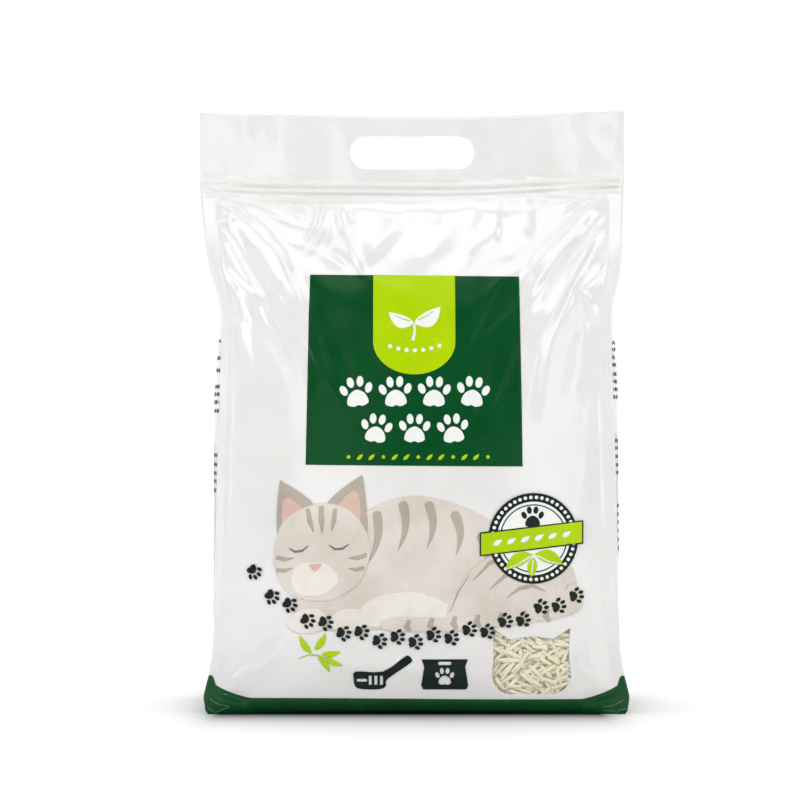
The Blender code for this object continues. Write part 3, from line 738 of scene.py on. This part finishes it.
panelBand("front_base_band", -1)
panelBand("back_base_band", 1)
gussetBand("left_base_band", -1)
gussetBand("right_base_band", 1)
print("base band made")

# Printed shapes on the front, in mm on the standing panel: x across, z up
ink = {"cell": 0.0013, "step": 0.00012, "first": 0.00026, "thickness": 0.00008}


def printShape(name, loops, material, layer=0):
    loops = [[(x / 1000, z / 1000) for x, z in loop] for loop in loops]
    points = np.array([p for loop in loops for p in loop])
    bm = fillLoops(loops)
    cell = ink["cell"]
    xs, zs = (np.arange(row.min() + cell / 2, row.max(), cell) for row in points.T)
    sliceAlong(bm, xs, zs)
    flat = coordinates(bm)
    lift = ink["first"] + ink["step"] * layer
    return filmPiece(name, bm, onFront(flat[:, 0], flat[:, 2], lift), material, ink["thickness"])


sideMarks = {
    "heights": {
        -1: (227.6, 216.6, 208.9, 198.8, 194.1, 189.2, 183.8, 156.4, 150.6, 145.2, 140.2, 134.6),
        1: (230.4, 226.2, 221.8, 217.0, 212.4, 206.6, 202.0, 197.2, 192.4, 165.4, 160.8, 155.6,
            150.4, 145.6, 124.8, 119.6, 114.6, 109.2, 103.8, 98.6),
    },
    "high": 2.3, "from": -25.0, "to": 25.0, "gap": 2.2, "lengths": (4.0, 12.0), "seed": 5,
    "lift": 0.0003, "shareOfMm": 0.43 / 38,
}


def gussetMarks(name, hand):
    # in mm across the gusset from its middle, towards the back, and up
    draw = random.Random(sideMarks["seed"] + hand)
    loops = []
    for height in sideMarks["heights"][hand]:
        at = sideMarks["from"]
        while at < sideMarks["to"] - sideMarks["lengths"][0]:
            length = min(draw.uniform(*sideMarks["lengths"]), sideMarks["to"] - at)
            loops.append(stadium((at + length / 2) / 1000, height / 1000, length / 1000,
                                 sideMarks["high"] / 1000))
            at += length + sideMarks["gap"]
    bm = fillLoops(loops)
    edges = np.arange(sideMarks["from"], sideMarks["to"], ink["cell"] * 1000) / 1000
    sliceAlong(bm, edges, ())
    flat = coordinates(bm)
    s = 0.5 + flat[:, 0] * 1000 * sideMarks["shareOfMm"]
    points = onGusset(hand, s, flat[:, 2], sideMarks["lift"])
    filmPiece(name, bm, points, darkInk, ink["thickness"])


gussetMarks("left_gusset_marks", -1)
gussetMarks("right_gusset_marks", 1)

greenPanel = {"corners": ((-67.0, 151.4), (64.0, 150.4), (62.8, 266.0), (-65.0, 267.2))}
limeTab = {"left": -26.3, "right": 23.6, "top": 266.6, "shoulder": 226.0, "foot": 206.0}


def ellipse(cx, cz, rx, rz, turn=0.0, count=20):
    c, s = math.cos(math.radians(turn)), math.sin(math.radians(turn))
    ring = [2 * math.pi * i / count for i in range(count)]
    around = [(rx * math.cos(t), rz * math.sin(t)) for t in ring]
    return [(cx + a * c - b * s, cz + a * s + b * c) for a, b in around]


def smoothLoop(points, steps=7):
    # a closed curve through the points
    out = []
    for i in range(len(points)):
        a, b, c, d = (points[(i + k) % len(points)] for k in (-1, 0, 1, 2))
        for step in range(steps):
            t = step / steps
            out.append(tuple(
                0.5 * (2 * q + (r - p) * t + (2 * p - 5 * q + 4 * r - s) * t**2
                       + (3 * q - p - 3 * r + s) * t**3)
                for p, q, r, s in zip(a, b, c, d)
            ))
    return out


def leaf(ax, az, bx, bz, width, bow=0.0):
    # a pointed leaf from stalk to tip
    run = Vector((bx - ax, bz - az))
    across = Vector((-run.y, run.x)).normalized()
    steps = 9
    right, left = [], []
    for i in range(steps + 1):
        t = i / steps
        middle = Vector((ax, az)) + run * t + across * bow * 4 * t * (1 - t)
        half = width / 2 * math.sin(math.pi * t**0.85) ** 0.9
        right.append(tuple(middle - across * half))
        left.append(tuple(middle + across * half))
    return right + left[-2:0:-1]


def stroke(points, widths):
    # a tapering brush line through the points
    path = [Vector(p) for p in points]
    right, left = [], []
    for i, p in enumerate(path):
        run = path[min(i + 1, len(path) - 1)] - path[max(i - 1, 0)]
        across = Vector((-run.y, run.x)).normalized() * widths[i] / 2
        right.append(tuple(p - across))
        left.append(tuple(p + across))
    return right + left[::-1]


def paw(cx, cz, size, turn=0.0):
    # a pad and four toes
    k = size / 10
    pad = [(-3.4, -2.6), (-1.4, -3.6), (0, -3.2), (1.4, -3.6), (3.4, -2.6), (2.6, 0.2), (0, 1.7),
           (-2.6, 0.2)]
    shapes = [smoothLoop(pad, 4)]
    for x, z, lean in ((-4.0, 1.9, 24), (-1.55, 4.2, 8), (1.55, 4.2, -8), (4.0, 1.9, -24)):
        shapes.append(ellipse(x, z, 1.15, 1.75, lean, 12))
    c, s = math.cos(math.radians(turn)), math.sin(math.radians(turn))
    return [[(cx + k * (x * c - z * s), cz + k * (x * s + z * c)) for x, z in shape]
            for shape in shapes]


crimp = {"width": 0.24, "lift": 0.00045}


def crimpLine(name, points):
    # a fine pale line where the film is pressed at a bottom corner
    loop = stroke(points, (crimp["width"],) * len(points))
    bm = fillLoops([[(x / 1000, z / 1000) for x, z in loop]])
    flat = coordinates(bm)
    points = onFront(flat[:, 0], flat[:, 2], crimp["lift"])
    filmPiece(name, bm, points, paleInk, band["ink"])


paleInk = filmMaterial("pale crimp", rgb(140, 176, 148), rgb(120, 160, 130), (0.25, 0.35), 0.5)
crimps = {
    "left_upper": [(-125, 9.7), (-123.5, 7.9), (-119.3, 5.9), (-113.2, 4.8)],
    "left_lower": [(-126.1, 3.4), (-122, 1.0), (-113.6, 4.4)],
    "right_upper": [(125.4, 8.6), (122.7, 7.2), (119.4, 5.4), (112.5, 4.4)],
    "right_lower": [(127.2, 3.4), (123, 2.5), (121.3, 1.0), (119.4, 1.9), (113.2, 2.3)],
}
for crimpName, points in crimps.items():
    crimpLine(f"crimp_{crimpName}", points)


def tabLoop():
    cx = (limeTab["left"] + limeTab["right"]) / 2
    rx = (limeTab["right"] - limeTab["left"]) / 2
    rz = limeTab["shoulder"] - limeTab["foot"]
    foot = arcPoints(cx, limeTab["shoulder"], rx, rz, 0, -180, 28)
    return [(limeTab["left"], limeTab["top"]), (limeTab["right"], limeTab["top"]), *foot]


def spread(shapes):
    return [loop for shape in shapes for loop in shape]


printShape("green_panel", [greenPanel["corners"]], darkGreen)
printShape("lime_tab", [tabLoop()], limeGreen, 1)
printShape("tab_sprout", [
    leaf(-1.4, 237, 14.6, 247.4, 9.4, -2.6), leaf(-1.4, 237, -17.0, 244.0, 8.0, 2.2),
    stroke([(-1.4, 238), (-1.0, 232), (-2.2, 226.6)], (1.3, 1.5, 1.8)),
    *[ellipse(x, 220.6 + 0.012 * (x + 1.4) ** 2, 1.3, 1.3) for x in range(-16, 15, 5)],
], whiteInk, 2)
printShape("tab_veins", [
    stroke([(1.2, 239.2), (6, 241.4), (10.4, 244.6)], (0.7, 0.6, 0.3)),
    stroke([(-4.0, 238.6), (-8.6, 239.8), (-13.2, 242.2)], (0.7, 0.6, 0.3)),
], limeGreen, 3)
printShape("panel_paws", spread(
    [paw(-36 + 23.3 * i, 193.5, 19, 8 - 5 * i) for i in range(4)]
    + [paw(-24.5 + 23.3 * i, 171.5, 18, -8 + 7 * i) for i in range(3)]
), whiteInk, 1)
printShape("panel_leaves", [
    leaf(x - 43, 154.4, x - 39.2, 157.9, 2.1) if x % 3 else ellipse(x - 41, 156.2, 1.1, 1.1)
    for x in range(0, 91, 7)
], limeGreen, 1)
print("front panel printed")

# A cat asleep, in flat colours
coatLight = filmMaterial("light coat", rgb(228, 220, 210), rgb(213, 204, 193), (0.2, 0.3), 0.7)
coatMiddle = filmMaterial("middle coat", rgb(186, 175, 163), rgb(172, 161, 150), (0.2, 0.3), 0.7)
coatDark = filmMaterial("dark coat", rgb(138, 127, 117), rgb(120, 110, 102), (0.2, 0.3), 0.7)
coatWhite = filmMaterial("pale coat", rgb(240, 235, 228), rgb(230, 223, 214), (0.2, 0.3), 0.7)
earPink = filmMaterial("ear pink", rgb(222, 188, 176), rgb(212, 176, 162), (0.2, 0.3), 0.7)

catLift = {"low": 8.5, "slope": 0.076, "head": 1.12, "headX": -58.0, "headZ": 62.0}


def catPlace(loop):
    # the sleeper lies on a slope that climbs to the right
    return [(x, z + catLift["low"] + catLift["slope"] * (x + 60)) for x, z in loop]


def headPlace(loop):
    k, cx, cz = catLift["head"], catLift["headX"], catLift["headZ"]
    return catPlace([(cx + k * (x - cx), cz + k * (z - cz)) for x, z in loop])


def printCat(name, loops, material, layer=0, place=catPlace):
    printShape(name, [place(loop) for loop in loops], material, layer)


catShapes = {
    "body": [(-66, 44), (-74, 56), (-66, 76), (-52, 96), (-30, 113), (-4, 120), (24, 113), (50, 98),
             (74, 86), (92, 72), (97, 56), (88, 45), (60, 41), (20, 40), (-30, 41)],
    "haunch": [(18, 46), (30, 70), (52, 82), (76, 76), (90, 60), (84, 48), (60, 43), (34, 42)],
    "belly": [(-40, 46), (-26, 60), (-2, 62), (18, 54), (22, 46), (0, 42.4), (-26, 42.6)],
    "tail": [(94, 60), (101, 50), (94, 40.6), (60, 37), (20, 36.4), (-14, 39), (-22, 43),
             (-14, 47.4), (20, 45), (58, 46.4), (84, 50)],
    "head": [(-82, 78), (-83, 92), (-77, 106), (-62, 113), (-46, 111), (-35, 100), (-31, 86),
             (-36, 71), (-48, 62), (-62, 61), (-75, 66)],
    "muzzle": [(-74, 74), (-70, 81), (-62, 82), (-54, 80), (-48, 72), (-54, 65), (-63, 63.4),
               (-71, 66)],
}
ears = [[(-81, 96), (-80.5, 124), (-77, 125.5), (-61, 112), (-70, 102)],
        [(-55, 112), (-38, 125.5), (-34.6, 123), (-33, 94), (-44, 100)]]
innerEars = [[(-78, 103), (-77.6, 118), (-67, 110)], [(-48, 111), (-38.4, 119), (-36.6, 102)]]


def coatStripes():
    back = []
    for i in range(6):
        x = -24 + 15.5 * i
        top = 116.5 - 0.012 * (x + 4) ** 2 - (0.10 * max(0, x - 20))
        length = 30 - 1.6 * i
        lean = -0.18 + 0.07 * i
        points = [(x + lean * length * t + 3.4 * math.sin(3 * t), top - length * t) for t in
                  (0, 0.25, 0.5, 0.75, 1)]
        back.append(stroke(points, (4.6, 5.2, 4.2, 2.6, 0.4)))
    return [smoothLoop(loop, 3) for loop in back]


printCat("cat_body", [smoothLoop(catShapes["body"])], coatLight)
printCat("cat_stripes", coatStripes(), coatMiddle, 1)
printCat("cat_belly", [smoothLoop(catShapes["belly"])], coatWhite, 1)
printCat("cat_haunch", [smoothLoop(catShapes["haunch"])], coatLight, 2)
printCat("cat_haunch_marks", [
    stroke([(34, 66), (44, 76), (58, 80), (72, 77)], (0.4, 2.6, 3.0, 0.6)),
    stroke([(44, 60), (54, 68), (66, 70), (76, 66)], (0.4, 2.8, 2.8, 0.5)),
    stroke([(54, 54), (62, 59), (70, 60), (78, 56)], (0.4, 2.4, 2.2, 0.5)),
    stroke([(20, 48), (25, 60), (32, 70)], (0.5, 1.2, 0.4)),
], coatMiddle, 3)
printCat("cat_tail", [smoothLoop(catShapes["tail"])], coatLight, 3)
printCat("cat_tail_rings", [
    stroke([(x + 2.2, 37.6 if x > 0 else 38.6), (x, 41.2), (x + 1.4, 45.2)], (2.2, 3.8, 2.4))
    for x in range(-6, 92, 14)
], coatMiddle, 4)
printCat("cat_ears", [smoothLoop(e, 4) for e in ears], coatMiddle, 1, headPlace)
printCat("cat_inner_ears", [smoothLoop(e, 4) for e in innerEars], earPink, 2, headPlace)
printCat("cat_head", [smoothLoop(catShapes["head"])], coatLight, 3, headPlace)
printCat("cat_head_marks", [
    stroke([(-57.6, 112), (-57.4, 104), (-57, 97)], (2.4, 3.2, 0.5)),
    stroke([(-65, 111), (-63.6, 104), (-61.6, 98)], (2.0, 2.8, 0.4)),
    stroke([(-50, 110), (-50.6, 104), (-52, 98)], (2.0, 2.8, 0.4)),
    stroke([(-82, 86), (-77, 84.5), (-72, 85)], (2.4, 2.4, 0.4)),
    stroke([(-82, 79), (-77, 78.4), (-73, 79.6)], (2.2, 2.0, 0.4)),
    stroke([(-33, 84), (-38, 82.6), (-43, 83)], (2.4, 2.4, 0.4)),
    stroke([(-34.4, 77), (-39, 76.4), (-43, 77.4)], (2.2, 2.0, 0.4)),
], coatMiddle, 4, headPlace)
printCat("cat_muzzle", [smoothLoop(catShapes["muzzle"])], coatWhite, 4, headPlace)
printCat("cat_paws", [
    smoothLoop([(-76, 44), (-78, 50), (-70, 56), (-58, 55.4), (-54, 48), (-58, 42.4), (-68, 41.4)]),
    smoothLoop([(-50, 43), (-52, 50), (-44, 55), (-32, 53), (-28, 46.6), (-33, 41.8), (-42, 41.2)]),
], coatWhite, 2)
printCat("cat_closed_eyes", [
    stroke([(-75, 90.4), (-71.6, 88.2), (-67.6, 88.6), (-64.6, 91)], (0.5, 1.3, 1.3, 0.5)),
    stroke([(-53.4, 90.6), (-50, 88.2), (-46, 88.2), (-42.6, 90.4)], (0.5, 1.3, 1.3, 0.5)),
], coatDark, 4, headPlace)
printCat("cat_nose", [smoothLoop([(-64, 80.6), (-60.6, 81), (-57.4, 80.4), (-60.8, 77)], 4)], earPink,
         5, headPlace)
print("picture printed")

trail = {"from": -99.0, "to": 96.0, "count": 19, "size": 9.2, "sway": 1.7}
trailCurve = ((-103, 92), (-100, 86.6), (-78, 66), (-50, 53), (-9.6, 46.0), (40, 52), (97, 70.5),
              (101, 71))


def trailPaws():
    shapes = []
    for i in range(trail["count"]):
        x = trail["from"] + (trail["to"] - trail["from"]) * i / (trail["count"] - 1)
        z, ahead = (float(through(trailCurve, np.array([x + d]))[0]) for d in (0.0, 1.0))
        turn = math.degrees(math.atan2(ahead - z, 1.0))
        shapes.append(paw(x, z + trail["sway"] * (-1) ** i, trail["size"], turn - 90))
    return spread(shapes)


printShape("paw_trail", trailPaws(), darkInk, 5)
printShape("sprig", [
    leaf(-63.5, 37.6, -70.6, 48.2, 4.0, 1), leaf(-61.4, 39.4, -55.0, 49.6, 4.2, -0.8),
    leaf(-57.4, 37.0, -45.8, 38.4, 3.8, -0.8), leaf(-55.0, 34.8, -44.4, 30.2, 3.4, -0.8),
    leaf(-59.6, 35.2, -52.4, 26.0, 3.4, 0.9),
    stroke([(-71.4, 34.2), (-65, 36.6), (-58.6, 36.0), (-53, 33.6)], (0.3, 0.8, 0.9, 0.4)),
], limeGreen, 1)


def scoopShape():
    tray = [(-38, 22), (-37, 17.4), (-33, 15.8), (-22, 15.8), (-18.4, 18), (-17.6, 22),
            (-4, 31.6), (-2.8, 34), (-4.6, 36), (-7.2, 35.6), (-20.4, 26.6), (-36.6, 26.6)]
    slits = [[(x - 0.9, 18.4), (x + 0.9, 18.4), (x + 0.9, 24), (x - 0.9, 24)]
             for x in (-28, -24.6, -21.2)]
    return [smoothLoop(tray, 3), stadium(-33, 21.2, 6.4, 1.7), *slits]


def packShape():
    outline = [(4, 15.6), (30, 15.6), (31.2, 18), (29.4, 29.6), (31, 34), (3, 34), (4.6, 29.6),
               (2.8, 18)]
    return [outline, *paw(17, 22.4, 11), stadium(17, 31.6, 8, 2)]


printShape("scoop", scoopShape(), darkInk, 1)
printShape("pack", packShape(), darkInk, 1)

badge = {"x": 70.6, "z": 107.0, "outer": 27.4, "inner": 22.2, "ground": 25, "line": 20.6,
         "lineWidth": 0.7, "dots": 46, "dot": 1.1, "ribbonEdge": 0.8}


def badgeRing(outer, inner):
    return [ellipse(badge["x"], badge["z"], r, r, 0, 72) for r in (outer, inner)]


def badgeDots():
    middle = (badge["outer"] + badge["inner"]) / 2
    turns = [2 * math.pi * i / badge["dots"] for i in range(badge["dots"])]
    places = [(badge["x"] + middle * math.cos(t), badge["z"] + middle * math.sin(t)) for t in turns]
    return [ellipse(x, z, badge["dot"], badge["dot"], 0, 10) for x, z in places]


ribbon = [(38.8, 110.0), (100.3, 116.9), (100.3, 104.3), (38.8, 97.3)]
ribbonOutwards = ((-1, 1), (1, 1), (1, -1), (-1, -1))
printShape("badge_ground", [
    ellipse(badge["x"], badge["z"], badge["ground"], badge["ground"], 0, 60)
], whiteInk, 4)
printShape("badge_ring", badgeRing(badge["outer"], badge["inner"]), darkInk, 5)
printShape("badge_line", badgeRing(badge["line"], badge["line"] - badge["lineWidth"]), darkInk, 5)
printShape("badge_dots", badgeDots(), whiteInk, 6)
printShape("badge_paw", paw(70, 118.6, 13), darkInk, 6)
printShape("badge_ribbon_edge", [[
    (x + badge["ribbonEdge"] * outX, z + badge["ribbonEdge"] * outZ)
    for (x, z), (outX, outZ) in zip(ribbon, ribbonOutwards)
]], darkInk, 6)
printShape("badge_ribbon", [ribbon], limeGreen, 7)
printShape("badge_ribbon_leaves", [
    leaf(46 + 8.4 * i, 103 + 0.94 * i, 51.4 + 8.4 * i, 106.4 + 0.94 * i, 3.0) for i in range(6)
], whiteInk, 8)
printShape("badge_leaves", [
    leaf(70, 97.4, 53.4, 88.2, 8, -1.5), leaf(71.4, 97.6, 88.6, 91, 8, 1.5),
    leaf(70.6, 95.4, 69, 83.6, 6),
], limeGreen, 6)
printShape("badge_veins", [
    stroke([(69, 96.4), (61, 91.4), (55, 89)], (0.9, 0.7, 0.3)),
    stroke([(72.4, 96.8), (80, 93), (87, 91.4)], (0.9, 0.7, 0.3)),
    stroke([(70.4, 94), (69.8, 89), (69.2, 85)], (0.9, 0.7, 0.3)),
], whiteInk, 7)
print("print made")

# Clear window and the litter behind it
pane = {"gap": 0.0002, "thickness": 0.00015, "alpha": 0.05}
clearFilm = plainMaterial("clear film", (0.9, 0.92, 0.9), (0.85, 0.88, 0.86), 0.1, 60,
                          alpha=pane["alpha"])


def windowPane():
    loop = [(x * 1000, z * 1000) for x, z in windowLoop(pane["gap"])]
    piece = printShape("window_pane", [loop], clearFilm)
    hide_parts("clear_window")
    piece.modifiers["film wall"].thickness = pane["thickness"]


windowPane()

pellets = {
    "count": 260, "tries": 9, "radius": 0.00116, "radii": (0.9, 1.06), "lengths": (0.0075, 0.0140),
    "front": 0.0004, "deep": 0.0038, "lowest": 0.002, "tilt": 0.0005, "shrink": 0.925, "seed": 12,
    "across": (-0.56, 0.56), "up": (-0.58, 0.6),  # shares of the window
    "level": 0.9, "steep": 1.6, "levelShare": 0.7,  # how far pellets lean, in radians
    "probes": 7, "depthWeight": 1.4,  # for the distance between two pellets
    "sides": 9, "edge": 0.35, "sharp": 50,  # the bevel's share of the radius, and degrees
}
litterMaterial = plainMaterial("litter pellets", rgb(255, 251, 230), rgb(247, 236, 203), 0.85, 900,
                               0.5)


def pelletInto(bm, start, end, radius):
    run = end - start
    turn = Matrix.Translation(start.lerp(end, 0.5)) @ run.to_track_quat("Z", "Y").to_matrix().to_4x4()
    made = bmesh.ops.create_cone(bm, cap_ends=True, segments=pellets["sides"], radius1=radius,
                                 radius2=radius, depth=run.length)["verts"]
    rims = [e for e in {e for v in made for e in v.link_edges}
            if abs(e.verts[0].co.z - e.verts[1].co.z) < radius / 10]
    rounded = bmesh.ops.bevel(bm, geom=rims, offset=pellets["edge"] * radius, segments=1,
                              profile=0.5, affect="EDGES", material=-1)["verts"]
    bmesh.ops.transform(bm, verts=list(set(made) & set(bm.verts) | set(rounded)), matrix=turn)


def roomiest(draw, placed):
    # of a few random pellets, the one that lies farthest from those already placed
    best = None
    for _ in range(pellets["tries"]):
        x = window["x"] + window["width"] * draw.uniform(*pellets["across"])
        z = window["z"] + window["height"] * draw.uniform(*pellets["up"])
        most = pellets["level"] if draw.random() < pellets["levelShare"] else pellets["steep"]
        lean = draw.uniform(-most, most)
        half = draw.uniform(*pellets["lengths"]) / 2
        behind = pellets["front"] + pellets["radius"] + draw.random() * pellets["deep"]
        along = half * np.linspace(-1, 1, pellets["probes"])
        depth = np.full(pellets["probes"], pellets["depthWeight"] * behind)
        points = np.stack((x + along * math.cos(lean), z + along * math.sin(lean), depth), axis=1)
        room = 1.0
        if len(placed):
            room = np.linalg.norm(points[:, None] - placed[None], axis=2).min()
        if best is None or room > best[0]:
            best = (room, x, z, lean, half, behind, points)
    return *best[1:6], np.concatenate((placed, best[6]))


def litterFill():
    # the fill's own solid, drawn in from the film, with loose pellets behind the window
    bm = bmesh.new()
    bm.from_mesh(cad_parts["litter"].data)
    bmesh.ops.remove_doubles(bm, verts=bm.verts, dist=1e-6)
    for v in bm.verts:
        v.co.x *= pellets["shrink"]
        v.co.y *= pellets["shrink"]
    draw = random.Random(pellets["seed"])
    placed = np.zeros((0, 3))
    for _ in range(pellets["count"]):
        x, z, lean, half, behind, placed = roomiest(draw, placed)
        tilt = draw.uniform(-pellets["tilt"], pellets["tilt"])
        ends = []
        for way in (-1, 1):
            ex, ez = x + way * half * math.cos(lean), z + way * half * math.sin(lean)
            ez = max(ez, pellets["lowest"])
            y = onFront(np.array([ex]), np.array([ez]), -behind + way * tilt)[0][1]
            ends.append(Vector((ex, y, ez)))
        pelletInto(bm, *ends, pellets["radius"] * draw.uniform(*pellets["radii"]))
    piece = addPiece("litter_fill", bm, litterMaterial, ["litter"])
    piece.data.set_sharp_from_angle(angle=math.radians(pellets["sharp"]))


litterFill()
stripPlastic = plainMaterial("strip plastic", (0.82, 0.83, 0.82), (0.78, 0.79, 0.78), 0.4, 200, 0.1)
for node in ("strip_rib", "strip_jaws"):
    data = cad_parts[node].data
    data.materials.clear()
    data.materials.append(stripPlastic)
print("window, litter and strips made")

# Floor, light and camera
studio = {
    # the world's light in front and behind, where it turns, and what gloss mirrors beyond the bag
    "ahead": 0.13, "aside": 0.85, "turn": (-0.8, 0.6), "behind": (0.05, 0.5),
    # the floor's colour, and its glow near and far from the middle
    "floor": 0.9, "floorSize": 12, "lift": (0.09, 1.0), "liftFrom": (0.24, 0.75),
    # the contact shadow painted on the floor: half the bag's foot, its place, and how fast and how
    # far it fades
    "foot": (0.1145, 0.040, 0.0), "footMiddle": (0.004, 0.0, 0.0), "footAcross": (3.2, 1.0, 1.0),
    "footReach": 0.0228,
    "aim": (0.0, 0.0, 0.18),  # each softbox: place, width, height and power
    "bandLeft": (-0.36, -1.2, 0.3, 0.32, 0.8, 0.85), "bandRight": (0.56, -1.15, 0.3, 0.3, 1.0, 1.15),
    "left": (-1.15, -0.75, 0.45, 0.5, 1.3, 6.2), "right": (1.2, -0.8, 0.45, 0.5, 1.3, 5.6),
    "front": (0.0, -1.0, 1.6, 1.5, 0.78, 8.2), "top": (0.0, 0.25, 1.3, 1.4, 0.9, 5.8),
    "camera": (-0.0100, -1.3, 0.1905), "sensor": 36.0, "mmPerPixel": 0.6265, "imagePixels": 800,
}


def mathNode(tree, operation, *values):
    # a maths node; each value is a number or another node's output
    node = tree.nodes.new("ShaderNodeMath")
    node.operation = operation
    for socket, value in zip(node.inputs, values):
        if isinstance(value, float):
            socket.default_value = value
        else:
            tree.links.new(value, socket)
    return node.outputs[0]


def vectorNode(tree, operation, place, other=None):
    node = tree.nodes.new("ShaderNodeVectorMath")
    node.operation = operation
    tree.links.new(place, node.inputs[0])
    if other:
        node.inputs[1].default_value = other
    return node.outputs["Value" if operation == "LENGTH" else "Vector"]


def paintedContactShadow(tree, place):
    # a contact shadow painted on the floor: 0 where the floor meets the bag, 1 out of it
    for operation, other in (("ADD", studio["footMiddle"]), ("ABSOLUTE", None),
                             ("SUBTRACT", studio["foot"]), ("MAXIMUM", None),
                             ("MULTIPLY", studio["footAcross"]), ("LENGTH", None)):
        place = vectorNode(tree, operation, place, other)
    shade = mathNode(tree, "EXPONENT", mathNode(tree, "MULTIPLY", place, -1 / studio["footReach"]))
    return mathNode(tree, "MULTIPLY_ADD", shade, -1.0, 1.0)


def makeFloor():
    bm = bmesh.new()
    bmesh.ops.create_grid(bm, x_segments=1, y_segments=1, size=studio["floorSize"])
    mesh = bpy.data.meshes.new("floor")
    bm.to_mesh(mesh)
    bm.free()
    floor = inScene("floor", mesh)
    material, tree, shader, place = newMaterial("floor")
    shader.inputs["Roughness"].default_value = 1.0
    shader.inputs["Specular IOR Level"].default_value = 0.0
    shader.inputs["Emission Color"].default_value = (1, 1, 1, 1)
    # the floor's colour goes to black towards the bag's foot: a painted contact shadow
    clear = paintedContactShadow(tree, place)
    pale = (studio["floor"],) * 3
    tree.links.new(mixColours(tree, clear, (0.0, 0.0, 0.0), pale), shader.inputs["Base Color"])
    # what the camera sees of it gets lighter with the distance, up to the white background, and the
    # painted contact shadow darkens this glow as well
    far = mapRange(tree, vectorNode(tree, "LENGTH", place), *studio["lift"], *studio["liftFrom"])
    path = tree.nodes.new("ShaderNodeLightPath")
    lift = mathNode(tree, "MULTIPLY", path.outputs["Is Camera Ray"], far)
    glow = mathNode(tree, "MULTIPLY", lift, clear)
    tree.links.new(glow, shader.inputs["Emission Strength"])
    mesh.materials.append(material)


def makeWorld():
    world = bpy.data.worlds.new("studio")
    bpy.context.scene.world = world
    world.use_nodes = True
    tree = world.node_tree
    background = tree.nodes["Background"]
    background.inputs["Color"].default_value = (1, 1, 1, 1)
    path = tree.nodes.new("ShaderNodeLightPath").outputs
    split = tree.nodes.new("ShaderNodeSeparateXYZ")
    tree.links.new(tree.nodes.new("ShaderNodeTexCoord").outputs["Generated"], split.inputs[0])
    towardsBack = split.outputs["Y"]
    # gloss at the sides mirrors the white behind the bag
    behind = mapRange(tree, towardsBack, 0.0, 1.0, *studio["behind"])
    mirrored = mathNode(tree, "MULTIPLY", path["Is Glossy Ray"], behind)
    beyond = mathNode(tree, "MAXIMUM", path["Is Transmission Ray"], mirrored)
    seen = mathNode(tree, "MAXIMUM", path["Is Camera Ray"], beyond)
    level = tree.nodes.new("ShaderNodeMapRange")
    level.inputs["To Max"].default_value = 1.0
    around = mapRange(tree, towardsBack, studio["ahead"], studio["aside"], *studio["turn"])
    tree.links.new(around, level.inputs["To Min"])
    tree.links.new(seen, level.inputs["Value"])
    tree.links.new(level.outputs["Result"], background.inputs["Strength"])


def softbox(name, x, y, z, width, height, power):
    data = bpy.data.lights.new(name, "AREA")
    data.shape, data.size, data.size_y, data.energy = "RECTANGLE", width, height, power
    light = inScene(name, data)
    light.location = (x, y, z)
    towards = Vector(studio["aim"]) - light.location
    light.rotation_euler = towards.to_track_quat("-Z", "Y").to_euler()


def makeCamera():
    data = bpy.data.cameras.new("camera")
    data.sensor_width = studio["sensor"]
    distance = -studio["camera"][1]
    imageWidth = studio["mmPerPixel"] * studio["imagePixels"] / 1000
    data.lens = data.sensor_width * distance / imageWidth
    camera = inScene("camera", data)
    camera.location = studio["camera"]
    camera.rotation_euler = (math.pi / 2, 0, 0)
    bpy.context.scene.camera = camera


makeFloor()
makeWorld()
for boxName in ("left", "right", "front", "top", "bandLeft", "bandRight"):
    softbox(boxName, *studio[boxName])
makeCamera()
bpy.context.scene.view_settings.view_transform = "Standard"
print("stage made")
